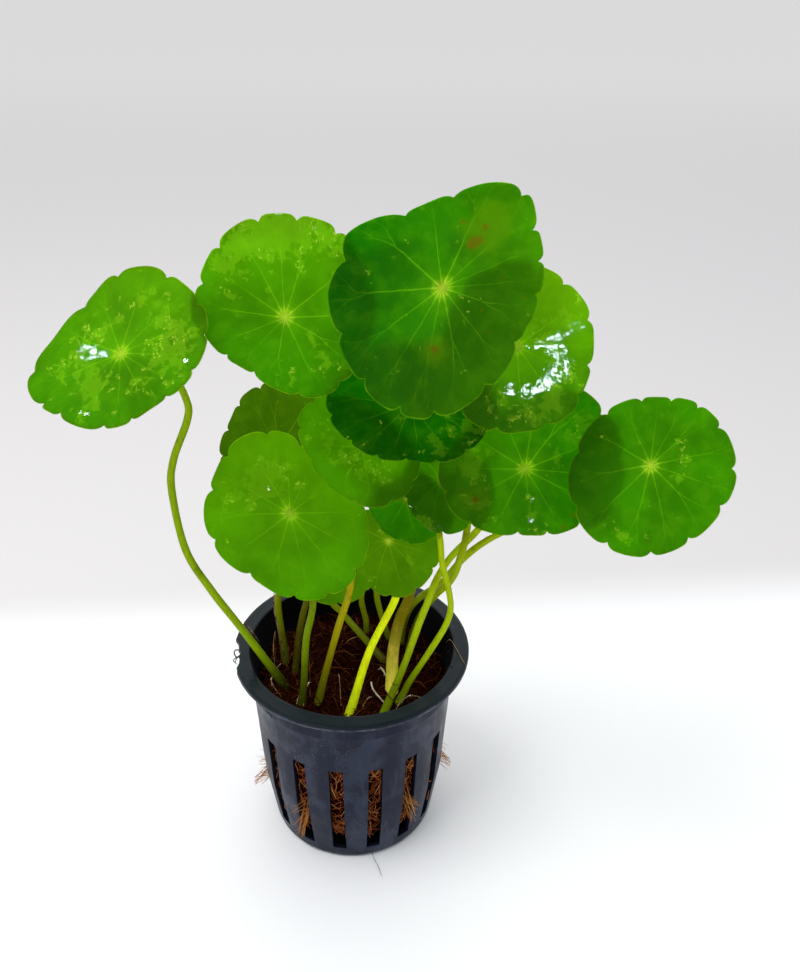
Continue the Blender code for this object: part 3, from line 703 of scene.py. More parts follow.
# Each tuft: its slot's angle, the height where its fibres leave the coir, how far out and how high the
# bundle's tip reaches, how many straight hairs follow the bundle, and how many stick out singly round it
TUFTS = (
    (-164.0, 17.0, 27.7, 12.5, 12, 20),
    (-119.0, 17.0, 25.6, 8.5, 12, 14),
    (-51.5, 19.0, 26.4, 13.5, 8, 14),
    (-6.5, 20.0, 27.0, 15.5, 8, 12),
)


def tuft_fibres():
    """Straight stiff hairs from inside a slot: some end round the bundle's tip, and the others are short and
    point every way between up, down and sideways."""
    random = np.random.default_rng(13)
    all_paths, all_radii = [], []
    t = np.linspace(0, 1, FIBRE_STEPS)[None, :, None]
    for angle, start, reach, tip, along_bundle, single in TUFTS:
        a = math.radians(angle)
        out = np.array((math.cos(a), math.sin(a), 0.0))
        side = np.array((-math.sin(a), math.cos(a), 0.0))
        wall = wall_outside(start)
        count = along_bundle + single
        spread = random.normal(0, 1, (count, 3))
        across = side * np.clip(spread[:, :1] * 0.5, -1.2, 1.2)
        root = out * (wall - 2.2) + across + (0, 0, start) + spread[:, 2:] * (0, 0, 2.4)
        end = out * reach + across + (0, 0, tip) + side * spread[:, 1:2] * 0.5
        end = end + random.normal(0, 0.8, (count, 1)) * (0, 0, 1.0)
        turn = random.uniform(-2.6, 0.9, (count, 1))
        lone = out * random.uniform(2.8, 4.6, (count, 1))
        lone = lone + side * np.cos(turn) * random.choice((-2.2, 2.2), (count, 1))
        lone = root + lone + np.sin(turn) * (0, 0, 3.2)
        end[along_bundle:] = lone[along_bundle:]
        sag = random.uniform(-0.5, 0.7, (count, 1, 1)) * (0, 0, 1.0)
        all_paths.append(root[:, None] + (end - root)[:, None] * t + sag * 4 * t * (1 - t))
        thick = random.uniform(0.06, 0.13, count)[:, None]
        all_radii.append(thick * (1 - 0.5 * t[..., 0] ** 2))
    return hairs(np.vstack(all_paths), np.vstack(all_radii))


for fibre_name, made, tones in (
    ("coir_fibres_top", top_fibres(), ((0.014, 0.002, 0.001), (0.15, 0.028, 0.006), (0.42, 0.13, 0.03))),
    ("coir_fibres_slots", slot_fibres(), ((0.22, 0.045, 0.014), (0.95, 0.30, 0.09), (1.0, 0.60, 0.20))),
    ("coir_fibre_tufts", tuft_fibres(), ((0.34, 0.10, 0.03), (0.85, 0.40, 0.09), (0.95, 0.62, 0.20))),
):
    new_object(fibre_name, *made[:2], fibre_finish(fibre_name, *tones), "coir", uv={"fibre": made[2]})


# Loose bits. White and brown root ends, dry fibres and two dead sheaths lie on the coir and over the rim, a
# black thread is caught on one stalk, crumbs cling inside the rim, and pale burrs stand in the rim's chip.
CRUMBS = 800
CRUMB_REACH = 23.8
CRUMB_SIDES = 5
RIM_CRUMBS = 110
RIM_CRUMBS_ANGLE = -18
RIM_CRUMBS_SPREAD = 13
RIM_CRUMBS_BOTTOM = 47.0
RIM_CRUMBS_TOP = 55.1
STRAND_RINGS = 26
STRAND_SIDES = 6
# The slot of each kind, then for each of its strands the radius and the places that it runs through
STRANDS = {
    "root_ends": ("stalk", (
        (0.24, ((4.9, -4.4, 45.4), (5.1, -5.7, 46.8), (5.7, -8.5, 47.1), (7.3, -11.1, 46.9),
                (9.2, -12.3, 45.6))),
        (0.13, ((6.6, 0.6, 45.6), (7.6, -0.8, 46.9), (8.8, -2.7, 46.6), (9.2, -3.5, 45.6))),
        (0.15, ((7.2, 0.9, 45.6), (7.4, -0.4, 47.2), (8.3, -1.4, 46.9), (8.4, -2.2, 45.8))),
    )),
    "tan_roots": ("stalk", (
        (0.14, ((11.2, -15.4, 45.4), (12.2, -13.9, 47.1), (14, -11.8, 47.5), (16.1, -10.5, 47),
                (19.4, -10.2, 45.4))),
        (0.17, ((-10.3, -4.6, 45.4), (-10.8, -6.2, 46.8), (-11, -8.4, 47.5), (-12.6, -11.3, 47.4),
                (-13.3, -13.4, 45.6))),
        (0.12, ((2.8, -14.4, 45.4), (4.2, -12.0, 46.8), (5.4, -9.6, 45.6))),
        (0.10, ((-19, 2.6, 45.2), (-19, -0.2, 47.2), (-19.9, -3.5, 47.8), (-20.3, -6.5, 47.1),
                (-19.1, -9.2, 45.5))),
        (0.10, ((-20.8, -3.2, 45.5), (-20.4, -6.2, 47.4), (-19.2, -8.6, 47.1), (-17.2, -10.4, 45.6))),
        (0.09, ((-3.6, -1.4, 45.6), (-3.1, -4.6, 47.4), (-2.6, -8.8, 47.3), (-2.1, -13.0, 45.4))),
        (0.10, ((-2.8, 10.0, 45.8), (-1.2, 10.7, 47.1), (1.4, 12.0, 47.2), (3.0, 13.4, 45.8))),
        (0.09, ((-21.4, 10.8, 45.4), (-21.2, 9.3, 50.4), (-21.1, 4.4, 49.2), (-20.4, 0.8, 45.6))),
        (0.08, ((24.2, 3.4, 52.6), (25.3, 1.6, 55.1), (26.6, -1.8, 55.3), (27.6, -5.0, 55.35),
                (28.8, -8.2, 55.1))),
        (0.12, ((-13.6, -11.2, 45.5), (-12.2, -12.0, 46.8), (-11.4, -13.6, 46.5), (-11.8, -14.6, 45.4))),
    )),
    "dead_sheaths": ("stalk", (
        (0.20, ((-19.2, 0.2, 70.5), (-19.3, -0.6, 66.0), (-18.6, -0.4, 59.0), (-17.9, 0.6, 52.0),
                (-17.3, 1.0, 44.8))),
        (0.16, ((-25.6, -7.6, 67.4), (-24.6, -7.4, 65.4), (-23.4, -6.9, 62.4), (-22.6, -6.6, 60.4))),
    )),
    "stray_threads": ("coir", (
        (0.10, ((8.6, -15, 53.6), (9.5, -16, 52.6), (10, -16.1, 51.6), (11, -15.8, 50.6),
                (12.4, -14.9, 50.2))),
        (0.09, ((10.4, -14.2, 54.8), (11.2, -14.6, 54.2), (12.2, -14.4, 54.4))),
        (0.07, ((5.2, -22.9, 5.4), (6.0, -22.6, 2.6), (6.5, -22.9, 0.7), (7.6, -24.8, 0.25),
                (8.8, -28.0, 0.2))),
    )),
    "rim_burrs": ("pot", (
        (0.20, ((-27.4, -3.6, 54.3), (-28.6, -3.5, 54.9), (-29.4, -4.2, 55.2), (-29.2, -5.3, 54.7),
                (-28.5, -5.6, 54.2), (-28.0, -5.0, 54.2))),
        (0.18, ((-27.6, -5.4, 54.3), (-28.6, -6.2, 54.8), (-29.3, -7.0, 54.4), (-28.5, -7.6, 53.9))),
        (0.14, ((-27.8, -4.4, 54.5), (-28.6, -5.8, 54.3), (-28.9, -6.8, 53.7), (-28.3, -7.3, 53.3))),
        (0.18, ((-21.4, -20.9, 53.7), (-19.2, -22.4, 53.3), (-16.2, -24.2, 53.1), (-13.0, -26.2, 53.3))),
        (0.12, ((-21.1, -17.4, 49.1), (-20.2, -18.4, 48.9), (-19.0, -19.6, 48.3), (-18.6, -19.8, 47.7))),
    )),
}


def through_four(a, b, c, d, t):
    """Catmull-Rom curve: the place at share t of the way from b to c, where a comes before and d after."""
    return 0.5 * (2 * b + (c - a) * t + (2 * a - 5 * b + 4 * c - d) * t**2 + (3 * b - a - 3 * c + d) * t**3)


def smooth_route(points, count):
    """Even places along a Catmull-Rom curve through the points."""
    p = np.asarray(points, float)
    p = np.vstack([2 * p[0] - p[1], p, 2 * p[-1] - p[-2]])
    t = np.linspace(0, 1, 20, endpoint=False)[None, :, None]
    fine = through_four(*(p[k: len(p) - 3 + k][:, None, :] for k in range(4)), t)
    fine = np.vstack([fine.reshape(-1, 3), p[-2:-1]])
    along = np.concatenate([[0], np.cumsum(np.linalg.norm(np.diff(fine, axis=0), axis=1))])
    wanted = np.linspace(0, along[-1], count)
    return np.stack([np.interp(wanted, along, fine[:, k]) for k in range(3)], axis=1)


def tube(route, radii, sides):
    """Closed round tube along a route: the first side direction is carried from ring to ring, each time
    with the part along the route taken off, so that the tube doesn't twist."""
    tangent = unit(np.gradient(route, axis=0))
    side = np.cross(tangent[0], (0.3, 1.0, 0.2))
    turn = np.arange(sides) * 2 * math.pi / sides
    rings = []
    for place, way, radius in zip(route, tangent, radii):
        side = unit(side - way * np.dot(side, way))
        other = np.cross(way, side)
        rings.append(place + radius * (np.cos(turn)[:, None] * side + np.sin(turn)[:, None] * other))
    return skin(np.array(rings), route[0], route[-1])


def strands(routes):
    """Tubes along smooth routes, each thinner towards both ends, joined into one mesh."""
    thinner = 1 - 0.6 * np.abs(np.linspace(-1, 1, STRAND_RINGS)) ** 3
    tubes = []
    for radius, places in routes:
        tubes.append(tube(smooth_route(places, STRAND_RINGS), radius * thinner, STRAND_SIDES))
    a_tube = len(tubes[0][0])
    faces = [[corner + k * a_tube for corner in face] for k, made in enumerate(tubes) for face in made[1]]
    return np.vstack([made[0] for made in tubes]), faces


def crumbs():
    """Short fat hairs that read as crumbs of 0.1 to 1.1 mm: most of them over the top of the coir, and some
    stuck inside the rim on the right."""
    random = np.random.default_rng(17)
    radius = CRUMB_REACH * np.sqrt(random.uniform(0.0, 1, CRUMBS))
    turn = random.uniform(0, 2 * math.pi, CRUMBS)
    x, y = radius * np.cos(turn), radius * np.sin(turn)
    low = np.stack([x, y, coir_height(x, y) + random.uniform(0.0, 0.35, CRUMBS)], -1)
    turn = np.radians(random.normal(RIM_CRUMBS_ANGLE, RIM_CRUMBS_SPREAD, RIM_CRUMBS))
    height = random.uniform(RIM_CRUMBS_BOTTOM, RIM_CRUMBS_TOP, RIM_CRUMBS)
    radius = np.interp(height, (COLLAR_BOTTOM, 54.4, RIM_CRUMBS_TOP), (24.6, 25.7, 26.6))
    radius = radius + random.uniform(-0.2, 0.1, RIM_CRUMBS)
    high = np.stack([radius * np.cos(turn), radius * np.sin(turn), height], -1)
    middle = np.vstack([low, high])
    way = unit(random.normal(size=middle.shape) * (1.0, 1.0, 0.4))
    size = np.concatenate([random.uniform(0.08, 0.30, CRUMBS), random.uniform(0.08, 0.22, RIM_CRUMBS)])
    t = np.array((-1.0, -0.5, 0.5, 1.0))
    length = (size * random.uniform(0.8, 1.8, len(size)))[:, None, None]
    paths = middle[:, None] + way[:, None] * length * t[:, None]
    return hairs(paths, size[:, None] * np.array((0.35, 1.0, 0.9, 0.3)), CRUMB_SIDES)


def strand_finish(name, dark, pale, roughness):
    """Dry or wet strand: blotched from dark to pale along its length."""
    s = Shader(bpy.data.materials.new(name))
    blotch = s.noise(s.place(), 0.0016, 3.0, 0.6)
    colour = s.mix(s.step(blotch, 0.35, 0.65), dark, pale)
    return s.surface(colour, roughness, s.bump(blotch, 0.0002), Specular_IOR_Level=0.12)


strand_finishes = {
    "root_ends": strand_finish("white_root", (0.55, 0.42, 0.32), (0.80, 0.72, 0.60), 0.35),
    "tan_roots": strand_finish("tan_root", (0.26, 0.11, 0.05), (0.58, 0.38, 0.20), 0.5),
    "dead_sheaths": strand_finish("dead_sheath", (0.06, 0.020, 0.010), (0.36, 0.20, 0.12), 0.6),
    "stray_threads": strand_finish("black_thread", (0.008, 0.006, 0.006), (0.02, 0.016, 0.014), 0.5),
    "rim_burrs": strand_finish("plastic_burr", (0.07, 0.08, 0.09), (0.30, 0.31, 0.33), 0.3),
}
for strand_name, (slot, routes) in STRANDS.items():
    new_object(strand_name, *strands(routes), strand_finishes[strand_name], slot)
crumb_points, crumb_faces, crumb_uv = crumbs()
crumb_husk = fibre_finish("coir_crumb", (0.008, 0.0015, 0.001), (0.06, 0.012, 0.003), (0.24, 0.08, 0.02))
new_object("coir_crumbs", crumb_points, crumb_faces, crumb_husk, "coir", uv={"fibre": crumb_uv})


# Leaf blades. Fourteen round blades with shallow scalloped lobes, each held near its middle by its stalk.
# They are thin and let light through, with pale forked veins, a thin pale edge line that is partly a painted
# rim highlight, and a wet skin in places.
NOTCH_DEPTH = 0.056
BLADE_THICKNESS = 0.34
LOBE_COLUMNS = 20
BLADE_ROWS = 30
ROW_CROWDING = 0.85
EDGE_THINNING = 0.45
EDGE_ROUND = 0.996
HUB_SINK = 0.35
HUB_SINK_WIDTH = 1.8
CREASE_DEPTH = 0.22
CREASE_WIDTH = 0.9
GROOVE_DEPTH = 0.07
GROOVE_WIDTH = 0.35
# Height of each wave round the edge, how often it repeats, and its shift
EDGE_WAVES = ((0.22, 5, 1), (0.14, 9, 2))
# hub, tilt, lean, dish, reach, notches and bend give a blade's shape: reach goes round at even steps from
# straight downhill, turning to the viewer's right, and notches are the dents between the lobes in degrees.
# bend rolls one side down: its direction, the crease's distance from the hub, the roll's radius and turn.
# Its freshness from 0 to 1 is given next, and turns is how much that grows a millimetre to the right and
# uphill: that slope is painted light and shade across the blade. rust is how brown its edge is. wet, film,
# stain and aged are marks on it, each as right, uphill and radius, in millimetres from the hub; the pale film
# is partly painted sheen.
LEAVES = {
    "far_left": dict(
        hub=(-43.3, -15.5, 139.5), tilt=50, lean=245, dish=1.0,
        reach=(16, 15.4, 15.8, 18.5, 20.2, 18.5, 18, 16.6, 15.4, 16.3, 21.4, 17.5),
        notches=(11, 35, 66, 89, 111, 130, 162, 202, 238, 293, 315, 330), bend=(245, 10, 12, 50),
        tone="green", freshness_and_painted_light=0.56, turns=(0.0, 0.010), rust=0.25,
        wet=((-8, -1.6, 1.7), (-5.4, -1.0, 1.2), (-3.2, -0.7, 0.9), (15.6, 1.2, 0.6), (-2.2, -13.4, 0.7),
             (-3.8, -13.2, 0.5)),
        film=((-3.5, 6.5, 3.2), (-7, 3, 3), (-10, -2, 3), (8, 8, 4), (13, 5, 4), (9, 0, 3), (14, -2, 3.6),
              (7, -6, 3), (-2, -7, 4), (-6, -5.5, 3), (-3, -12.6, 3.4), (3, 12, 3), (-12, -7, 2.4)),
    ),
    "upper_left": dict(
        hub=(-11, -14.5, 147), tilt=60, lean=262, dish=1.2,
        reach=(14, 17, 17.5, 18, 18.5, 19.5, 19.5, 20, 19, 17.5, 14.5, 12.5),
        notches=(16, 46, 80, 115, 152, 177, 200, 228, 252, 283, 308, 336),
        tone="green", freshness_and_painted_light=0.46, turns=(0.0, 0.010), rust=0.15,
        wet=((1.6, 17, 0.6), (4.6, 17, 0.6), (-2.6, 19.4, 0.7)),
        film=((-8, 15.5, 6.5), (-2, 16, 6), (3, 18, 5.5), (9, 14, 3.6), (-13, 10, 3.4), (-12, 4, 2),
              (7, -4, 1.8), (2, -12, 2.4), (9, -8, 2.4)),
    ),
    "top": dict(
        hub=(18.5, -22.5, 156), tilt=62, lean=280, dish=1.4,
        reach=(22.7, 20.5, 19, 17.5, 16.8, 17.4, 18.2, 19.2, 20.8, 23.5, 21.8, 17.9,
               15.2, 14.4, 15.2, 17, 19, 19, 20.6, 21, 21.8, 23, 24.1, 24),
        notches=(20, 50, 83, 102, 119, 135, 168, 204, 254, 292, 316, 336, 352), bend=(195, 7, 13, 60),
        tone="green", freshness_and_painted_light=0.26, turns=(0.014, -0.005), rust=0.0,
        wet=((-1.5, -18, 0.35),),
        stain=((6.9, 8, 1.5), (5.6, 7.4, 1.0), (4.5, 11.3, 0.9), (8.6, 10.4, 1.0), (-2.2, -11, 1.3),
               (15, -2.6, 0.6), (8.1, -8.4, 0.6), (-17.4, 5.4, 0.9), (6.9, -4.4, 0.5), (12, -3, 0.5),
               (10.9, 1.3, 0.4)),
        aged=((8, 9, 4.2), (11, 12, 3), (-2.2, -11, 3)),
    ),
    "upper_right": dict(
        hub=(33.5, -17, 143), tilt=60, lean=284, dish=1.0,
        reach=(16.5, 16.5, 15.5, 15.5, 16, 16, 16, 16, 15.5, 16, 17, 17.5),
        notches=(14, 48, 71, 105, 137, 166, 195, 225, 255, 283, 310, 338),
        tone="green", freshness_and_painted_light=0.75, turns=(0.0, 0.02), rust=0.1,
        wet=((2, -0.1, 0.5), (4, -0.1, 0.7), (6.7, -0.2, 1.6), (9, 1, 1.3), (11.5, 2.3, 1.1), (13, 3.2, 0.8),
             (8.6, -3, 2.0), (7.4, -5.8, 1.9), (4.4, -8, 1.5), (1, -8.8, 1.3), (-2.3, -8.2, 1.3),
             (-5.4, -5.5, 1.0)),
        film=((-4.6, -11, 3), (1.2, -13.3, 3.4), (6, -11, 3), (9, -6.4, 3), (11.4, 5.4, 3), (6, 1, 3)),
    ),
    "middle": dict(
        hub=(13.5, -15.5, 130), tilt=44, lean=275, dish=0.8,
        reach=(12.5, 14.5, 16, 16.5, 15.5, 15, 15, 15, 15, 17, 15.5, 13.5),
        notches=(19, 45, 80, 115, 150, 185, 220, 252, 279, 303, 326, 352),
        tone="green", freshness_and_painted_light=0.0, rust=0.0,
        film=((9.4, -7, 4), (13.5, -3.9, 3.4), (0, -3.4, 2), (4, -9, 2.6)),
    ),
    "lower_right": dict(
        hub=(38, -13, 114), tilt=58, lean=272, dish=1.2,
        reach=(14, 15.5, 17.5, 19.5, 20.5, 20.5, 18, 16, 17, 18.5, 18, 15.5),
        notches=(18, 46, 74, 100, 126, 156, 188, 222, 255, 286, 313, 352),
        tone="green", freshness_and_painted_light=0.32, turns=(-0.012, 0.0), rust=0.2,
        wet=((1.4, -6.5, 0.5), (0.9, -10.8, 0.6)),
        film=((-10.7, 3, 3), (-11.7, -0.2, 3), (-12, -6.5, 3), (-8, -9, 3), (1.2, -6, 1.8), (1.4, -10, 2),
              (9.5, 6.5, 3), (13, 9, 3), (7, 2, 2), (4, -14, 2)),
        stain=((-10.6, -6.5, 1.3), (9.9, -9.7, 0.8), (7.7, -12.2, 0.8)), aged=((-10.6, -6, 3.2),),
    ),
    "far_right": dict(
        hub=(62.5, -18.5, 118.5), tilt=54, lean=255, dish=1.2,
        reach=(19, 17.5, 16.5, 16.5, 16, 15.5, 14, 14, 14.5, 15.5, 17.5, 19),
        notches=(8, 34, 66, 95, 128, 150, 171, 196, 228, 268, 309, 340),
        tone="green", freshness_and_painted_light=0.34, rust=0.1, film=((5, 5, 1.7), (6.2, 1.6, 1.7), (5.6, -2, 1.7), (-3, -16, 2)),
    ),
    "olive": dict(
        hub=(-17, 6.5, 107.5), tilt=54, lean=272, dish=0.8,
        reach=(14, 13.5, 12, 11.5, 12.5, 15, 16, 15, 13, 13.5, 14, 14),
        notches=(10, 42, 80, 125, 172, 197, 222, 250, 278, 310, 342),
        tone="olive", freshness_and_painted_light=0.5, rust=0.3,
    ),
    "lower_left": dict(
        hub=(-12.5, -11.5, 101), tilt=50, lean=278, dish=1.0,
        reach=(19, 20.5, 19, 16.5, 14, 13, 18, 20, 18.5, 18.5, 17.5, 16.5),
        notches=(0, 22, 46, 73, 105, 139, 169, 193, 224, 250, 287, 324),
        tone="green", freshness_and_painted_light=0.72, turns=(0.0, 0.008), rust=0.1, wet=((-4.4, 5.6, 0.4),),
        film=((-8, 5, 3.4), (-4, 5, 3), (-2, 9, 3.6), (-12, 4, 3), (-6, 9, 3), (2, 6, 2.2), (-14, 0, 2)),
    ),
    "centre": dict(
        hub=(3.5, -13, 118.5), tilt=50, lean=285, dish=0.8,
        reach=(13, 13.5, 13, 11.5, 9.5, 10, 12.5, 14, 14.5, 12, 11, 11.5),
        notches=(20, 48, 82, 118, 155, 190, 220, 247, 277, 306, 344),
        tone="green", freshness_and_painted_light=0.6, rust=0.2,
        wet=((-6.3, 3.5, 0.6), (-3.1, -4.1, 0.6), (-1.4, -7.6, 0.8), (1.6, -7.2, 0.6), (-9, 0.4, 0.5)),
        film=((-4, -2, 4), (1, -6, 3.6), (-8, 3, 3), (5, -4, 2.4)),
    ),
    "small_right": dict(
        hub=(20.5, -8.5, 108.5), tilt=56, lean=275, dish=0.6,
        reach=(12, 12, 11.5, 11, 10.5, 10, 10, 9.5, 9, 8.5, 9, 10.5),
        notches=(0, 30, 62, 95, 130, 165, 200, 235, 268, 298, 333),
        tone="green", freshness_and_painted_light=0.45, rust=0.1,
        wet=((-7.4, -6.4, 0.8), (-5.6, -9.2, 0.9), (-2.8, -11.2, 0.8), (-0.5, -10.4, 0.6)),
        film=((-6, -8.5, 2), (-3, -10, 2)),
    ),
    "small_dark": dict(
        hub=(13, -4.5, 101), tilt=50, lean=285, dish=0.6,
        reach=(10.5, 11, 11, 10, 9, 9, 9, 9, 9, 9, 9, 9.5),
        notches=(23, 60, 95, 130, 165, 200, 235, 268, 302, 345),
        tone="green", freshness_and_painted_light=0.25, rust=0.1,
    ),
    "small_front": dict(
        hub=(9, -4.5, 89.5), tilt=60, lean=255, dish=0.7,
        reach=(12.5, 13.5, 13, 13, 11.5, 8.5, 7.5, 8, 10, 11, 10, 10),
        notches=(12, 41, 69, 100, 135, 170, 205, 240, 270, 302, 334),
        tone="shaded", freshness_and_painted_light=0.36, rust=0.1, film=((6, -4, 2), (-2.2, -9.8, 2)),
    ),
    "small_back": dict(
        hub=(-6, 3.5, 79), tilt=58, lean=268, dish=0.5,
        reach=(11.5, 12.5, 13, 12, 10, 9, 9, 9, 9, 9, 9.5, 10.5),
        notches=(15, 50, 85, 120, 155, 190, 225, 260, 295, 338),
        tone="shaded", freshness_and_painted_light=0.3, rust=0.2,
    ),
}


def leaf_axes(leaf):
    """Downhill, sideways and outward directions of a blade."""
    t, a = math.radians(leaf["tilt"]), math.radians(leaf["lean"])
    down = np.array((math.cos(t) * math.cos(a), math.cos(t) * math.sin(a), -math.sin(t)))
    side = np.array((-math.sin(a), math.cos(a), 0.0))
    out = np.array((math.sin(t) * math.cos(a), math.sin(t) * math.sin(a), math.cos(t)))
    return down, side, out


def leaf_reach(leaf, degrees, part):
    """Hub to edge in each direction: a Catmull-Rom curve through the reaches, less a dent that is deepest at
    each notch, where part is 0 or 1, and nothing in the middle of a lobe."""
    reach = np.array(leaf["reach"], float)
    place = (degrees % 360) * len(reach) / 360
    i = place.astype(int)
    t = place - i
    whole = through_four(*(reach[(i + k) % len(reach)] for k in (-1, 0, 1, 2)), t)
    return whole * (1 - NOTCH_DEPTH * (1 - np.sin(math.pi * part)) ** 3.4)


def blade_point(leaf, degrees, part, share, lift, phase):
    """Places on the blade. degrees and part have one value a column, share and lift one a row. The blade is a
    shallow dish, sunk at the hub, with a low wave round its edge, a crease in from each notch and a groove
    along the middle vein of each lobe. Where it bends, the part past the crease is rolled round a cylinder
    without changing its length."""
    a = np.radians(degrees)[None, :]
    share, lift = share[:, None], lift[:, None]
    reach = leaf_reach(leaf, degrees, part)[None, :] * share
    u, v = reach * np.cos(a), reach * np.sin(a)
    w = leaf["dish"] * share**2 * (1 + 0.25 * np.sin(3 * a + leaf["lean"]))
    w = w - HUB_SINK * np.exp(-((reach / HUB_SINK_WIDTH) ** 2))
    width = reach * (2 * math.pi / len(leaf["notches"]))
    from_notch = np.minimum(part, 1 - part)[None, :] * width
    from_vein = np.abs(part - 0.5)[None, :] * width
    w = w - CREASE_DEPTH * share**2 * np.exp(-((from_notch / CREASE_WIDTH) ** 2))
    groove = GROOVE_DEPTH * np.exp(-((from_vein / GROOVE_WIDTH) ** 2))
    w = w - groove * np.minimum(share * 4, 1) * (1 - share)
    for size, times, shift in EDGE_WAVES:
        w = w + size * share**3 * np.sin(times * a + shift * phase)
    if "bend" in leaf:
        direction, crease, radius, turn = leaf["bend"]
        d = math.radians(direction)
        past = np.maximum(u * math.cos(d) + v * math.sin(d) - crease, 0)
        rolled = np.minimum(past / radius, math.radians(turn))
        straight = past - rolled * radius
        run = radius * np.sin(rolled) + straight * np.cos(rolled) + (w + lift) * np.sin(rolled)
        drop = radius * (1 - np.cos(rolled)) + straight * np.sin(rolled)
        u, v = u + math.cos(d) * (run - past), v + math.sin(d) * (run - past)
        height = (w + lift) * np.cos(rolled) - drop
    else:
        height = w + lift
    down, side, out = leaf_axes(leaf)
    return np.array(leaf["hub"]) + u[..., None] * down + v[..., None] * side + height[..., None] * out


def blade_surface(name, leaf):
    """Closed skin of a blade: rows from the hub out over the back, round the thin edge and back to the hub
    in front. Returns the points, the faces and, for each corner, the place across its lobe and from the hub;
    and for each point, its place to the right and uphill on the flat blade."""
    phase = (zlib.crc32(name.encode()) % 628) / 100
    notches = np.array(leaf["notches"], float)
    gaps = np.diff(np.append(notches, notches[0] + 360))
    part = np.tile(np.arange(LOBE_COLUMNS) / LOBE_COLUMNS, len(notches))
    lobe = np.repeat(np.arange(len(notches)), LOBE_COLUMNS)
    degrees = notches[lobe] + gaps[lobe] * part
    near = np.linspace(0, 1, BLADE_ROWS + 1)[1:] ** ROW_CROWDING
    half = BLADE_THICKNESS / 2
    thin = half * (1 - EDGE_THINNING * near**4)
    share = np.concatenate([near[:-1], [EDGE_ROUND, 1.0, EDGE_ROUND], near[:-1][::-1]])
    lift = np.concatenate([-thin[:-1], [-thin[-1] * 0.75, 0.0, thin[-1] * 0.75], thin[:-1][::-1]])
    rings = blade_point(leaf, degrees, part, share, lift, phase)
    hub = blade_point(leaf, degrees[:1], part[:1], np.zeros(2), np.array((-half, half)), phase)[:, 0]
    points, faces, shares = skin(rings, hub[0], hub[1])
    rows = len(share)
    across = shares[:, 0] * len(notches)
    row_share = np.concatenate([[0.0], share, [0.0]])
    from_hub = np.interp(shares[:, 1] * (rows + 1), np.arange(rows + 2), row_share)
    a = np.radians(degrees)[None, :]
    reach = leaf_reach(leaf, degrees, part)[None, :] * share[:, None]
    right = np.append((reach * np.sin(a)).ravel(), (0, 0))
    uphill = np.append((-reach * np.cos(a)).ravel(), (0, 0))
    return points, faces, np.stack([across, from_hub], -1), np.stack([right, uphill], -1)


def spots(places, flat):
    """How strongly each point is marked by some round marks together: each gives 1 at its own centre, fading
    with the square of the distance."""
    total = np.zeros(len(flat))
    for right, uphill, radius in places:
        away = (flat[:, 0] - right) ** 2 + (flat[:, 1] - uphill) ** 2
        total += np.exp(-away / radius**2)
    return total


def let_light_through(s, share, colour, normal):
    """Makes that share of a finish translucent, so that light from behind it shows in the given colour."""
    opaque = Value(s, s.tree.nodes["Principled BSDF"].outputs[0])
    lit = s.node("BsdfTranslucent", {"Color": colour, "Normal": normal})
    both = s.node("MixShader", {0: share, 1: opaque, 2: lit})
    s.put(s.tree.nodes["Material Output"].inputs["Surface"], both)
    return s.owner


def vein_lines(s, place, across, from_hub, mottle):
    """How strongly each place shows as vein. One line runs down the middle of each lobe and forks twice on
    its way to the edge: the distance from it is taken with the sign off, less the gap between its forks."""
    waver = (s.noise(place, 0.004, 2.0, 0.5) - 0.5) * 0.28
    own = s.node("TexWhiteNoise", {1: s.math("FLOOR", across)}, noise_dimensions="1D")
    centred = abs(s.math("FRACT", across) - 0.5 + (own - 0.5) * 0.14 + waver * from_hub)
    first_fork = s.math("MAXIMUM", from_hub - (own + 0.9) * 0.42, 0.0)
    second_fork = s.math("MAXIMUM", from_hub - 0.80, 0.0)
    branch = abs(abs(centred - first_fork * 0.55) - second_fork * 0.6)
    distance = branch * from_hub * 9.0 - s.step(from_hub, 0.0, 0.8, 0.085, 0.05)
    drawn = s.step(distance, 0.05, -0.03) * s.step(from_hub, 0.97, 0.40, 0.14, 0.60)
    return drawn * s.step(mottle, 0.2, 0.6, 0.45, 1.0)


